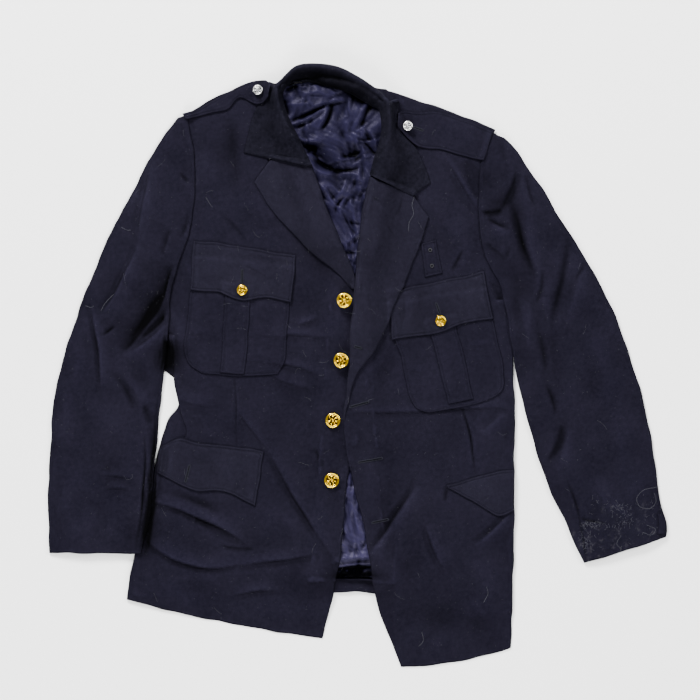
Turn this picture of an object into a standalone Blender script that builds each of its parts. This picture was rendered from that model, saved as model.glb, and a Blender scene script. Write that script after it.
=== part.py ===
"""Service dress jacket, laid flat on its back with the sleeves at its sides.

Metres, +Z up. The jacket lies on the plane z = 0, the collar towards +Y, its
front facing up. Every piece of cloth is a wall worked out from a short table of
sections: each row gives the two ends of one line across the piece. The pieces
are laid one on another, from the back panel up to the buttons.
Tables are in millimetres.
"""
import math
from collections import namedtuple

import bmesh
import bpy
import numpy as np

MM = 0.001

# Cloth walls and the clearance between pieces, in millimetres
SEAM_GAP = 0.3
TUCK_HEIGHT = 4.0
WOOL_WALL = 2.0
FRONT_WALL = 2.2
LINING_WALL = 1.0
POCKET_WALL = 1.4
FLAP_WALL = 2.0
COLLAR_WALL = 2.4
HEM_WALL = 1.5

# Grid spacing on the pieces, in millimetres
PANEL_GRID = 25.0
FLAT_GRID = 60.0
TRIM_GRID = 16.0
LINING_GRID = 17.0
BACK_GRID = 48.0

# Height field that holds the top of what is already laid
FIELD_HALF = 450.0
FIELD_CELL = 2.0

# Buttons: gold front buttons of 36 ligne, pocket and shoulder buttons smaller
FRONT_BUTTON_RADIUS = 11.4
POCKET_BUTTON_RADIUS = 8.0
SHOULDER_BUTTON_RADIUS = 7.3
BUTTON_HEIGHT_RATIO = 0.42
BUTTON_SIDES = 16

EYELET_RADIUS = 2.6
EYELET_WIRE = 0.8

# A line across a piece, from its left end to its right end. Bow moves the line's
# middle towards the piece's first row, and loft lifts the middle of the wall.
Section = namedtuple("Section", "left_x left_y right_x right_y bow loft")

# A soft ridge (height above 0) or trough (height below 0) along a bent line
Fold = namedtuple("Fold", "from_x from_y to_x to_y bend width height")

# The collar from one front end round the neck to the other: the edge at the
# neck, the crest of its roll, and the outer edge, which is turned under behind
# the neck where tuck is 1
CollarStation = namedtuple(
    "CollarStation", "inner_x inner_y crest_x crest_y rise outer_x outer_y bow tuck"
)

Spot = namedtuple("Spot", "name x y radius slot")

BACK = [
    Section(-102, 386, 26, 360, 9, 0),
    Section(-165, 372, 92, 348, 4, 0),
    Section(-236, 336, 188, 316, 0, 0),
    Section(-226, 300, 172, 285, 0, 0),
    Section(-224, 246, 168, 228, 0, 0),
    Section(-228, 200, 168, 180, 0, 0),
    Section(-248, 140, 182, 140, 0, 0),
    Section(-261, 90, 203, 95, 0, 0),
    Section(-270, 40, 211, 50, 0, 0),
    Section(-272, 10, 213, 10, 0, 0),
    Section(-258, -20, 214, -30, 0, 0),
    Section(-248, -55, 215, -60, 0, 0),
    Section(-260, -82, 215, -100, 0, 0),
    Section(-273, -125, 214, -150, 0, 0),
    Section(-284, -174, 214, -200, 0, 0),
    Section(-298, -240, 213, -270, 0, 0),
    Section(-305, -290, 212, -320, 10, 0),
    Section(-308, -320, 212, -350, 22, 0),
]

SIDE_PANEL_RIGHT = [
    Section(-262, 40, -215, 40, 0, 0),
    Section(-257, -5, -215, -5, 0, 0),
    Section(-250, -52, -214, -55, 0, 0.5),
    Section(-264, -74, -214, -80, 0, 1),
    Section(-278, -112, -216, -112, 0, 1),
    Section(-286, -160, -222, -160, 0, 0),
    Section(-302, -240, -235, -245, 0, 0),
    Section(-316, -318, -250, -332, 0, 0),
]

SIDE_PANEL_LEFT = [
    Section(165, 90, 204, 90, 0, 0),
    Section(168, 0, 214, 0, 0, 0),
    Section(170, -100, 216, -100, 0, 0),
    Section(168, -220, 215, -220, 0, 0),
    Section(165, -345, 211, -340, 0, 0),
]

BACK_LINING = [
    Section(-105, 389, 35, 363, 17, 0),
    Section(-108, 365, 42, 335, 8, 1),
    Section(-104, 330, 45, 305, 0, 2),
    Section(-90, 290, 42, 270, 0, 2),
    Section(-76, 250, 34, 235, 0, 1.5),
    Section(-60, 205, 26, 195, 0, 1),
    Section(-44, 160, 18, 160, 0, 0.5),
    Section(-36, 110, 14, 110, 0, 0),
    Section(-40, 40, 20, 40, 0, 0),
    Section(-45, -40, 20, -40, 0, 0),
    Section(-50, -120, 25, -120, 0, 0),
    Section(-55, -200, 30, -200, 0, 1),
    Section(-60, -255, 40, -257, 0, 1.5),
    Section(-64, -294, 50, -296, 0, 0),
]

BACK_HEM = [
    Section(-76, -297, 62, -298, 0, 0),
    Section(-76, -326, 62, -322, 8, 0),
]

FRONT_RIGHT = [
    Section(-242, 350, -112, 396, 11, 0),
    Section(-234, 320, -108, 372, 4, 1.5),
    Section(-230, 285, -94, 340, 0, 2.5),
    Section(-230, 246, -74, 299, 0, 3),
    Section(-232, 214, -51, 242, 0, 3),
    Section(-241, 176, -34, 197, 0, 3),
    Section(-259, 127, -15, 150, 0, 2.5),
    Section(-265, 90, 6, 98, 0, 2),
    Section(-265, 50, 14, 40, 0, 1.5),
    Section(-258, 0, 13, -20, 0, 1.5),
    Section(-255, -31, 4, -70, 0, 1),
    Section(-248, -62, -6, -118, 0, 1),
    Section(-241, -98, -13, -150, 0, 1),
    Section(-278, -126, -16, -180, 0, 1),
    Section(-290, -174, -20, -224, 0, 1.5),
    Section(-303, -223, -24, -265, 0, 1.5),
    Section(-313, -267, -30, -300, 0, 1.5),
    Section(-319, -300, -38, -340, 0, 1),
    Section(-323, -327, -50, -381, -5, 0),
]

FRONT_LEFT = [
    Section(40, 386, 194, 331, 2, 0),
    Section(39, 361, 184, 312, 0, 1.5),
    Section(34, 326, 175, 290, 0, 2.5),
    Section(25, 292, 173, 266, 0, 3),
    Section(16, 254, 172, 228, 0, 3),
    Section(8, 211, 173, 203, 0, 3),
    Section(4, 177, 175, 172, 0, 2.5),
    Section(-1, 131, 186, 141, 0, 2),
    Section(-5, 100, 203, 110, 0, 2),
    Section(-8, 60, 213, 60, 0, 1.5),
    Section(-10, 22, 217, 20, 0, 1),
    Section(-13, -15, 218, -20, 0, 1),
    Section(-15, -42, 221, -66, 0, 1),
    Section(-20, -85, 219, -110, 0, 1),
    Section(-15, -125, 219, -150, 0, 1),
    Section(-4, -172, 220, -190, 0, 1.5),
    Section(8, -220, 219, -225, 0, 2),
    Section(17, -275, 218, -270, 0, 2),
    Section(28, -335, 217, -320, 0, 1.5),
    Section(44, -378, 216, -360, 0, 1),
    Section(61, -421, 214, -394, -7, 0),
]

LAPEL_RIGHT = [
    Section(-131, 283, -62, 272, 0, 1),
    Section(-145, 256, -55, 253, 0, 2),
    Section(-134, 237, -47, 232, 0, 2),
    Section(-122, 221, -39, 212, 0, 2),
    Section(-98, 193, -30, 191, 0, 2),
    Section(-74, 168, -20, 166, 0, 1.5),
    Section(-50, 146, -10, 143, 0, 1),
    Section(-25, 125, -3, 121, 0, 0.5),
    Section(-9, 107, 1, 105, 0, 0),
]

LAPEL_LEFT = [
    Section(16, 262, 78, 237, 0, 1),
    Section(11, 243, 99, 210, 0, 2),
    Section(7, 222, 93, 187, 0, 2),
    Section(4, 196, 84, 160, 0, 2),
    Section(1, 172, 75, 140, 0, 2),
    Section(-2, 146, 63, 108, 0, 1.5),
    Section(-5, 118, 52, 85, 0, 1.5),
    Section(-6, 88, 38, 48, 0, 1),
    Section(-10, 55, 22, 18, 0, 1),
    Section(-13, 22, 8, -10, 0, 0.5),
    Section(-16, -18, -6, -30, 0, 0),
]

COLLAR = [
    CollarStation(-62, 276, -73, 277, 3, -159, 298, -4, 0),
    CollarStation(-72, 297, -83, 299, 4, -154, 317, 0, 0),
    CollarStation(-82, 318, -93, 322, 6, -148, 342, 0, 0),
    CollarStation(-93, 339, -104, 345, 8, -140, 363, 0, 0),
    CollarStation(-101, 360, -112, 368, 12, -134, 378, 0, 0),
    CollarStation(-104, 378, -113, 388, 16, -125, 396, 0, 0),
    CollarStation(-99, 390, -101, 401, 21, -98, 392, 0, 1),
    CollarStation(-86, 396, -84, 415, 24, -80, 401, 0, 1),
    CollarStation(-61, 395, -57, 417.5, 25, -60, 402, 0, 1),
    CollarStation(-37, 388, -28, 413, 25, -36, 398, 0, 1),
    CollarStation(-13, 381, -3, 401, 24, -12, 388, 0, 1),
    CollarStation(2, 373, 16, 389, 22, 6, 377, 0, 1),
    CollarStation(17, 364, 31, 378, 19, 24, 370, 0, 1),
    CollarStation(29, 358, 43, 366, 14, 56, 371, 0, 0),
    CollarStation(33, 343, 45, 345, 10, 56, 349, 0, 0),
    CollarStation(33, 325, 45, 325, 8, 63, 326, 0, 0),
    CollarStation(29, 307, 41, 306, 6, 81, 305, 0, 0),
    CollarStation(23, 289, 34, 287, 5, 93, 281, -4, 0),
    CollarStation(17, 266, 28, 264, 4, 102, 256, -14, 0),
]

SLEEVE_RIGHT = [
    Section(-251, 347, -238, 351, 0, 1),
    Section(-272, 320, -231, 318, 0, 2),
    Section(-292, 288, -228, 290, 0, 2.5),
    Section(-309, 254, -227, 262, 0, 3),
    Section(-327, 220, -228, 232, 0, 3.5),
    Section(-345, 187, -231, 204, 0, 3.5),
    Section(-360, 153, -238, 176, 0, 3.5),
    Section(-374, 120, -251, 140, 0, 3.5),
    Section(-387, 86, -260, 105, 0, 3.5),
    Section(-398, 52, -262, 70, 0, 3.5),
    Section(-410, 19, -266, 30, 0, 3),
    Section(-418, -15, -270, -8, 0, 3),
    Section(-425, -48, -274, -42, 0, 3),
    Section(-429, -99, -279, -92, 0, 3),
    Section(-432, -149, -284, -145, 0, 3),
    Section(-433, -200, -287, -195, 0, 2.5),
    Section(-432, -235, -293, -228, 0, 2.5),
    Section(-432, -261, -303, -263, 0, 2),
]

SLEEVE_LEFT = [
    Section(189, 327, 206, 320, 0, 1),
    Section(179, 305, 222, 302, 0, 2),
    Section(172, 285, 243, 270, 0, 2.5),
    Section(170, 262, 262, 243, 0, 3),
    Section(169, 235, 279, 214, 0, 3.5),
    Section(170, 205, 297, 186, 0, 3.5),
    Section(173, 170, 314, 158, 0, 3.5),
    Section(184, 140, 331, 129, 0, 3.5),
    Section(199, 112, 346, 102, 0, 3.5),
    Section(208, 75, 361, 71, 0, 3.5),
    Section(214, 32, 374, 33, 0, 3),
    Section(220, -3, 386, -4, 0, 3),
    Section(227, -34, 397, -36, 0, 3),
    Section(236, -68, 406, -76, 0, 3),
    Section(246, -106, 413, -116, 0, 3),
    Section(258, -145, 419, -158, 0, 3),
    Section(273, -182, 425, -194, 0, 2.5),
    Section(290, -217, 431, -216, 0, 2.5),
    Section(303, -247, 433, -232, 0, 2.5),
    Section(316, -276, 432, -240, 0, 2),
]

CHEST_POCKET_RIGHT = [
    Section(-230, 150, -90, 136, 0, 0),
    Section(-234, 101, -94, 88, 0, 0),
    Section(-239, 55, -98, 50, 0, 0),
    Section(-243, 22, -100, 20, 0, 0),
    Section(-236, 3, -104, 2, 0, 0),
    Section(-218, -9, -112, -11, -5, 0),
]

CHEST_POCKET_LEFT = [
    Section(44, 84, 180, 105, 0, 0),
    Section(50, 45, 190, 62, 0, 0),
    Section(60, 12, 199, 22, 0, 0),
    Section(67, -18, 204, -5, 0, 0),
    Section(72, -42, 205, -26, 0, 0),
    Section(82, -58, 197, -39, 0, 0),
    Section(99, -65, 180, -48, -3, 0),
]

PLEAT_RIGHT = [
    Section(-184, 112, -149, 108, 0, 0),
    Section(-188, 50, -152, 48, 0, 0),
    Section(-192, -10, -158, -12, 0, 0),
]

PLEAT_LEFT = [
    Section(98, 60, 135, 68, 0, 0),
    Section(113, 0, 150, 8, 0, 0),
    Section(127, -54, 162, -46, 0, 0),
]

CHEST_FLAP_RIGHT = [
    Section(-230, 176, -234, 106, 0, 0),
    Section(-194, 172, -194, 102, 0, 0.5),
    Section(-163, 167, -161, 91, 0, 0.5),
    Section(-125, 161, -123, 95, 0, 0.5),
    Section(-86, 155, -92, 88, 0, 0),
]

CHEST_FLAP_LEFT = [
    Section(44, 103, 48, 36, 0, 0),
    Section(75, 111, 76, 41, 0, 0.5),
    Section(112, 118, 113, 45, 0, 0.5),
    Section(145, 125, 146, 58, 0, 0.5),
    Section(176, 133, 190, 66, 0, 0),
]

LOWER_FLAP_RIGHT = [
    Section(-277, -112, -281, -148, 0, 0),
    Section(-250, -101, -252, -164, 0, 0.5),
    Section(-216, -108, -225, -174, 0, 1),
    Section(-169, -113, -182, -177, 0, 1),
    Section(-131, -119, -142, -197, 0, 0),
]

LOWER_FLAP_LEFT = [
    Section(124, -167, 127, -171, 0, 0),
    Section(148, -160, 150, -183, 0, 0.5),
    Section(172, -153, 172, -196, 0, 1),
    Section(196, -146, 196, -209, 0, 1),
    Section(219, -145, 219, -202, 0, 0),
]

EPAULETTE_RIGHT = [
    Section(-245, 352, -240, 344, 0, 0),
    Section(-218, 363, -212, 351, 0, 0.5),
    Section(-190, 378, -182, 358, 0, 1),
    Section(-165, 391, -166, 374, 0, 1.5),
    Section(-146, 398, -146, 366, 0, 1),
    Section(-130, 399, -134, 366, 0, 0),
    Section(-121, 393, -124, 376, 0, 0),
]

EPAULETTE_LEFT = [
    Section(56, 352, 57, 334, 0, 0),
    Section(66, 356, 70, 318, 0, 0),
    Section(84, 355, 86, 306, 0, 0.5),
    Section(112, 355, 112, 302, 0, 1),
    Section(145, 346, 143, 294, 0, 1),
    Section(172, 335, 166, 288, 0, 0.5),
    Section(190, 327, 176, 286, 0, 0),
]

BADGE_TAB = [
    Section(89, 172, 110, 176, 0, 0),
    Section(91, 148, 114, 153, 0, 0),
    Section(94, 124, 118, 129, 0, 0),
]

CUFF_TAB = [
    Section(418, -206, 429, -209, 0, 0),
    Section(420, -222, 431, -224, 0, 0),
    Section(419, -236, 429, -236, 0, 0),
]

LINING_FOLDS = [
    Fold(-98, 320, -35, 385, 4, 7, 5.0),
    Fold(-90, 300, -20, 345, -4, 7, 3.5),
    Fold(-64, 300, -30, 365, 6, 7, 3.5),
    Fold(-70, 288, 10, 300, -14, 8, 6.0),
    Fold(-20, 310, 28, 340, 4, 7, 4.0),
    Fold(0, 296, 34, 318, 0, 7, 5.0),
    Fold(-50, 240, -8, 268, 6, 7, 3.5),
    Fold(-28, 200, 0, 250, -4, 8, 3.0),
    Fold(-46, 215, -24, 180, 2, 7, 3.0),
    Fold(-20, 150, 4, 200, 2, 8, 2.5),
    Fold(-30, -272, 30, -262, 6, 9, 4.0),
    Fold(-10, -180, 5, -250, 3, 9, 3.0),
]

FRONT_RIGHT_FOLDS = [
    Fold(-128, -116, -32, -270, -6, 15, 4.0),
    Fold(-286, -186, -157, -242, 5, 14, 4.5),
    Fold(-300, -236, -84, -264, 22, 14, 4.5),
    Fold(-187, -250, -140, -250, 2, 13, 1.5),
    Fold(-170, -312, -90, -308, 2, 14, 1.5),
    Fold(-174, 356, -194, 312, 4, 15, 2.0),
    Fold(-186, 212, -146, 168, 3, 18, 2.5),
    Fold(-156, 12, -46, -14, 6, 15, 2.0),
    Fold(-170, -30, -171, -105, 0, 13, -1.0),
    Fold(-60, -112, -46, -152, 0, 15, 1.5),
]

FRONT_LEFT_FOLDS = [
    Fold(86, -168, 18, -266, 4, 14, 4.5),
    Fold(82, -172, 56, -322, 10, 14, 4.0),
    Fold(98, -200, 124, -290, 3, 14, 3.0),
    Fold(196, -208, 164, -252, 0, 14, 2.0),
    Fold(124, 296, 170, 216, -8, 18, 2.5),
    Fold(162, 170, 128, 126, 0, 18, 2.0),
    Fold(-8, -68, 62, -62, 2, 13, 2.0),
    Fold(146, -64, 216, -60, 2, 13, 2.0),
    Fold(208, -70, 172, -96, 0, 14, 2.0),
    Fold(0, -150, 62, -146, 2, 14, 1.5),
]

SLEEVE_RIGHT_FOLDS = [
    Fold(-283, 301, -342, 99, -12, 17, 4.0),
    Fold(-264, 78, -344, 26, -8, 15, 4.5),
    Fold(-369, 74, -358, -40, -6, 14, 3.5),
    Fold(-262, 188, -276, 152, 0, 15, 2.5),
    Fold(-233, 208, -250, 170, 0, 14, 2.0),
    Fold(-296, -70, -300, -250, 4, 14, 1.5),
    Fold(-356, -144, -320, -152, 2, 14, 1.5),
]

SLEEVE_LEFT_FOLDS = [
    Fold(216, 266, 178, 210, 14, 15, 3.5),
    Fold(218, 228, 248, 118, -6, 16, 3.0),
    Fold(181, 168, 222, 134, -4, 15, 3.0),
    Fold(258, 183, 270, 108, 4, 17, 3.5),
    Fold(292, 108, 262, -14, -6, 16, 4.0),
    Fold(268, 64, 250, 24, 0, 15, 2.5),
    Fold(289, -76, 268, -136, 4, 15, 2.5),
    Fold(318, 143, 302, 122, 0, 15, 2.0),
    Fold(292, -166, 318, -272, 4, 14, 1.5),
]

NO_FOLDS = []

SPOTS = [
    Spot("button_front_1", -18.6, 91.5, FRONT_BUTTON_RADIUS, "gold"),
    Spot("button_front_2", -23.0, 8.0, FRONT_BUTTON_RADIUS, "gold"),
    Spot("button_front_3", -34.3, -75.5, FRONT_BUTTON_RADIUS, "gold"),
    Spot("button_front_4", -36.0, -159.0, FRONT_BUTTON_RADIUS, "gold"),
    Spot("button_pocket_right", -161.0, 106.0, POCKET_BUTTON_RADIUS, "gold"),
    Spot("button_pocket_left", 116.0, 63.0, POCKET_BUTTON_RADIUS, "gold"),
    Spot("button_shoulder_right", -139.0, 385.0, SHOULDER_BUTTON_RADIUS, "silver"),
    Spot("button_shoulder_left", 70.0, 334.5, SHOULDER_BUTTON_RADIUS, "silver"),
]

EYELETS = [
    Spot("eyelet_upper", 101.5, 162.0, EYELET_RADIUS, "brass"),
    Spot("eyelet_lower", 104.0, 140.0, EYELET_RADIUS, "brass"),
]

# Turned profile of a button, from its crown to its underside: share of the
# radius and share of the height
BUTTON_PROFILE = [
    (0.00, 1.00),
    (0.50, 0.90),
    (0.76, 0.72),
    (0.90, 0.74),
    (1.00, 0.45),
    (0.80, 0.00),
    (0.00, 0.00),
]

# Base colour, roughness and metallic value
FINISHES = {
    "wool": ((0.020, 0.020, 0.032, 1.0), 0.92, 0.0),
    "collar_wool": ((0.022, 0.021, 0.030, 1.0), 0.92, 0.0),
    "satin": ((0.060, 0.058, 0.115, 1.0), 0.38, 0.0),
    "gold": ((0.83, 0.58, 0.20, 1.0), 0.28, 1.0),
    "silver": ((0.75, 0.74, 0.72, 1.0), 0.25, 1.0),
    "brass": ((0.45, 0.35, 0.18, 1.0), 0.45, 1.0),
}


def clear_scene():
    """Remove every object that the file starts with."""
    for item in list(bpy.data.objects):
        bpy.data.objects.remove(item, do_unlink=True)


def make_collection(name):
    """A new collection, linked to the scene."""
    collection = bpy.data.collections.new(name)
    bpy.context.scene.collection.children.link(collection)
    return collection


def make_material(name, slot):
    """One material for one piece, with the finish of its slot."""
    colour, roughness, metallic = FINISHES[slot]
    material = bpy.data.materials.new(name)
    material.use_nodes = True
    shader = material.node_tree.nodes["Principled BSDF"]
    shader.inputs["Base Color"].default_value = colour
    shader.inputs["Roughness"].default_value = roughness
    shader.inputs["Metallic"].default_value = metallic
    material.diffuse_color = colour
    return material


def through_rows(values, steps):
    """Read a smooth curve through the rows of a table, steps times between rows."""
    rows = np.array(values, dtype=float)
    padded = np.vstack([2 * rows[0] - rows[1], rows, 2 * rows[-1] - rows[-2]])
    pieces = []
    for index in range(len(rows) - 1):
        before, start, end, after = padded[index:index + 4]
        for step in range(steps):
            t = step / steps
            pieces.append(0.5 * (
                2 * start
                + (end - before) * t
                + (2 * before - 5 * start + 4 * end - after) * t ** 2
                + (3 * start - before - 3 * end + after) * t ** 3
            ))
    pieces.append(rows[-1])
    return np.array(pieces)


def evenly(table, lengths, count):
    """Read a dense table at count + 1 places evenly spaced along its length."""
    wanted = np.linspace(0, lengths[-1], count + 1)
    return np.column_stack([np.interp(wanted, lengths, column) for column in table.T])


def section_grid(rows, spacing):
    """Plan positions (rows, across, 2) and lofts (rows, across) of a piece."""
    dense = through_rows(rows, 8)
    middle = (dense[:, 0:2] + dense[:, 2:4]) / 2
    steps = np.linalg.norm(np.diff(middle, axis=0), axis=1)
    lengths = np.concatenate([[0], np.cumsum(steps)])
    along = max(2, round(lengths[-1] / spacing))
    widths = np.linalg.norm(dense[:, 2:4] - dense[:, 0:2], axis=1)
    across = max(2, round(widths.max() / spacing))
    table = evenly(dense, lengths, along)
    u = np.linspace(0, 1, across + 1)[None, :, None]
    left = table[:, None, 0:2]
    right = table[:, None, 2:4]
    span = right - left
    towards_first = np.concatenate([-span[..., 1:2], span[..., 0:1]], axis=2)
    towards_first = towards_first / np.linalg.norm(towards_first, axis=2, keepdims=True)
    first_row = np.array(rows[0][0:2]) - np.array(rows[-1][0:2])
    if float(towards_first[0, 0] @ first_row) < 0:
        towards_first = -towards_first
    bow = table[:, None, 4:5] * 4 * u * (1 - u)
    plan = left + span * u + towards_first * bow
    loft = table[:, 5:6] * (1 - np.abs(2 * u[..., 0] - 1) ** 3)
    return plan, loft


def fold_relief(plan, folds):
    """Height that the folds add at each plan position."""
    relief = np.zeros(plan.shape[:2])
    for fold in folds:
        start = np.array([fold.from_x, fold.from_y], dtype=float)
        end = np.array([fold.to_x, fold.to_y], dtype=float)
        length = np.linalg.norm(end - start)
        forward = (end - start) / length
        sideways = np.array([-forward[1], forward[0]])
        offset = plan - start
        along = np.clip(offset @ forward / length, 0, 1)
        spine = fold.bend * 4 * along * (1 - along)
        off_line = offset @ sideways - spine
        past_end = offset @ forward - along * length
        distance = np.hypot(off_line, past_end)
        taper = 0.35 + 0.65 * np.sin(math.pi * along)
        relief += fold.height * taper * np.exp(-(distance / fold.width) ** 2)
    return relief


class HeightField:
    """The top of everything laid so far, on a square grid of cells."""

    def __init__(self):
        count = int(2 * FIELD_HALF / FIELD_CELL) + 1
        self.top = np.zeros((count, count))

    def index(self, positions):
        """Cell numbers of plan positions."""
        cells = np.rint((positions + FIELD_HALF) / FIELD_CELL).astype(int)
        return np.clip(cells, 1, len(self.top) - 2)

    def read(self, positions, reach=1):
        """Highest top within reach cells of each plan position."""
        cells = self.index(positions)
        limit = len(self.top) - 1
        highest = np.zeros(positions.shape[:-1])
        for dx in range(-reach, reach + 1):
            for dy in range(-reach, reach + 1):
                i = np.clip(cells[..., 0] + dx, 0, limit)
                j = np.clip(cells[..., 1] + dy, 0, limit)
                highest = np.maximum(highest, self.top[i, j])
        return highest

    def lay(self, points):
        """Raise the field to a grid of points (rows, across, 3)."""
        for weights in quad_weights(points[..., 0:2]):
            sample = blend_corners(points, weights)
            cells = self.index(sample[..., 0:2]).reshape(-1, 2)
            heights = sample[..., 2].reshape(-1)
            np.maximum.at(self.top, (cells[:, 0], cells[:, 1]), heights)


def quad_weights(plan):
    """Corner weights that cover each quad of a grid, split along one diagonal."""
    longest = max(
        np.linalg.norm(np.diff(plan, axis=0), axis=2).max(),
        np.linalg.norm(np.diff(plan, axis=1), axis=2).max(),
    )
    count = int(math.ceil(longest / FIELD_CELL)) + 1
    for s in np.linspace(0, 1, count + 1):
        for t in np.linspace(0, 1, count + 1):
            if s + t <= 1:
                yield (1 - s - t, s, t, 0)
            else:
                yield (0, 1 - t, 1 - s, s + t - 1)


def blend_corners(grid, weights):
    """Weighted sum of each quad's four corners."""
    near, next_row, next_column, far = weights
    return (
        near * grid[:-1, :-1]
        + next_row * grid[1:, :-1]
        + next_column * grid[:-1, 1:]
        + far * grid[1:, 1:]
    )


def soften(heights, passes):
    """Average each height with its neighbours."""
    for _ in range(passes):
        padded = np.pad(heights, 1, mode="edge")
        around = padded[:-2, 1:-1] + padded[2:, 1:-1] + padded[1:-1, :-2] + padded[1:-1, 2:]
        heights = 0.5 * heights + 0.5 * around / 4
    return heights


def clear_of_field(plan, heights, field, clearance, active=None):
    """Raise heights until the whole surface is clear of what lies below it."""
    corners = (
        (slice(None, -1), slice(None, -1)),
        (slice(1, None), slice(None, -1)),
        (slice(None, -1), slice(1, None)),
        (slice(1, None), slice(1, None)),
    )
    for _ in range(14):
        lift = np.zeros_like(heights)
        for weights in quad_weights(plan):
            place = blend_corners(plan, weights)
            below = field.read(place)
            short = np.where(below > 0, below + clearance, 0) - blend_corners(heights, weights)
            if active is not None:
                short = np.where(active, short, 0)
            short = np.maximum(short, 0)
            scale = sum(weight ** 2 for weight in weights)
            for corner, weight in zip(corners, weights):
                lift[corner] = np.maximum(lift[corner], short * weight / scale)
        if lift.max() < 0.005:
            break
        heights = heights + lift
    return heights


def wall_object(name, slot, lower, upper, collection):
    """A closed wall between two grids of points, in millimetres."""
    rows, across = lower.shape[:2]
    shell = bmesh.new()
    under = [[shell.verts.new(point * MM) for point in row] for row in lower]
    over = [[shell.verts.new(point * MM) for point in row] for row in upper]
    for i in range(rows - 1):
        for j in range(across - 1):
            for layer in (under, over):
                shell.faces.new((layer[i][j], layer[i + 1][j], layer[i][j + 1]))
                shell.faces.new((layer[i + 1][j], layer[i + 1][j + 1], layer[i][j + 1]))
    rim = [(0, j) for j in range(across)]
    rim += [(i, across - 1) for i in range(1, rows)]
    rim += [(rows - 1, j) for j in range(across - 2, -1, -1)]
    rim += [(i, 0) for i in range(rows - 2, 0, -1)]
    for (i, j), (k, m) in zip(rim, rim[1:] + rim[:1]):
        shell.faces.new((under[i][j], under[k][m], over[k][m]))
        shell.faces.new((under[i][j], over[k][m], over[i][j]))
    bmesh.ops.recalc_face_normals(shell, faces=shell.faces)
    mesh = bpy.data.meshes.new(name)
    shell.to_mesh(mesh)
    shell.free()
    return link_object(name, slot, mesh, collection)


def link_object(name, slot, mesh, collection):
    """An object of its own for a mesh, with its material and smooth shading."""
    item = bpy.data.objects.new(name, mesh)
    mesh.materials.append(make_material(name + "_finish", slot))
    mesh.shade_smooth()
    mesh.set_sharp_from_angle(angle=math.radians(40))
    collection.objects.link(item)
    return item


def lay_panel(name, slot, rows, wall, spacing, folds, field, collection, inset=0.0):
    """A piece of cloth that lies on what is already there."""
    plan, loft = section_grid(rows, spacing)
    if inset:
        span = plan[:, -1:] - plan[:, :1]
        inward = span / np.linalg.norm(span, axis=2, keepdims=True)
        side = np.linspace(1, -1, plan.shape[1])[None, :, None]
        plan = plan + inward * side * inset
    resting = field.read(plan, 2)
    heights = np.maximum(soften(resting, 2), 0) + loft + fold_relief(plan, folds)
    heights = clear_of_field(plan, np.maximum(heights, 0), field, SEAM_GAP)
    lower = np.concatenate([plan, heights[..., None]], axis=2)
    upper = lower + np.array([0, 0, wall])
    field.lay(upper)
    return wall_object(name, slot, lower, upper, collection)


def collar_controls():
    """The collar's sections, each a smooth curve from the neck over the crest."""
    stations = through_rows(COLLAR, 2)
    controls = []
    for station in stations:
        row = CollarStation(*station)
        inner = np.array([row.inner_x, row.inner_y, 0.0])
        crest = np.array([row.crest_x, row.crest_y, row.rise])
        outer = np.array([row.outer_x, row.outer_y, 0.0])
        tuck = min(max(row.tuck, 0.0), 1.0)
        away = (crest - inner)[0:2]
        away = away / np.linalg.norm(away)
        behind = crest + np.array([away[0] * 3, away[1] * 3, -row.rise * 0.5])
        foot = crest + np.array([-away[0] * 4, -away[1] * 4, COLLAR_WALL / 2 - row.rise])
        on_cloth = crest + (outer - crest) * 0.45
        on_cloth[2] = row.rise * 0.25
        nearer_edge = crest + (outer - crest) * 0.8
        nearer_edge[2] = 0.0
        sideways = np.array([-(outer - crest)[1], (outer - crest)[0], 0.0])
        sideways = sideways / max(np.linalg.norm(sideways), 1.0)
        if sideways[1] > 0:
            sideways = -sideways
        on_cloth = on_cloth - sideways * row.bow
        nearer_edge = nearer_edge - sideways * row.bow * 0.8
        fall = behind * tuck + on_cloth * (1 - tuck)
        low = foot * tuck + nearer_edge * (1 - tuck)
        outer[2] = COLLAR_WALL / 2 * tuck
        controls.append((inner, crest, fall, low, outer, tuck))
    return controls


def collar_surface():
    """Middle surface of the collar, and the points that are turned under."""
    grid = []
    turned_under = []
    for inner, crest, fall, low, outer, tuck in collar_controls():
        halfway = (inner + crest) / 2
        curve = through_rows([inner, halfway, crest, fall, low, outer], 2)
        grid.append(curve)
        behind = np.arange(len(curve)) > 4
        turned_under.append(behind & (tuck > 0.02))
    return np.array(grid), np.array(turned_under)


def surface_normals(grid):
    """Unit normals of a grid of points, pointing up where it is flat."""
    along = np.gradient(grid, axis=0)
    across = np.gradient(grid, axis=1)
    normals = np.cross(along, across)
    normals /= np.linalg.norm(normals, axis=2, keepdims=True)
    if normals[len(normals) // 2, 0, 2] < 0:
        normals = -normals
    return normals


def tuck_collar(grid, turned_under, field):
    """Give the field the part of the collar that the back lies on."""
    flat = turned_under & (grid[..., 2] < TUCK_HEIGHT)
    for _ in range(2):
        padded = np.pad(flat, 1)
        flat = padded[1:-1, 1:-1] | padded[:-2, 1:-1] | padded[2:, 1:-1] | padded[1:-1, :-2]
    height = np.where(flat, COLLAR_WALL + SEAM_GAP, 0.0)
    field.lay(np.concatenate([grid[..., 0:2], height[..., None]], axis=2))


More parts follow.
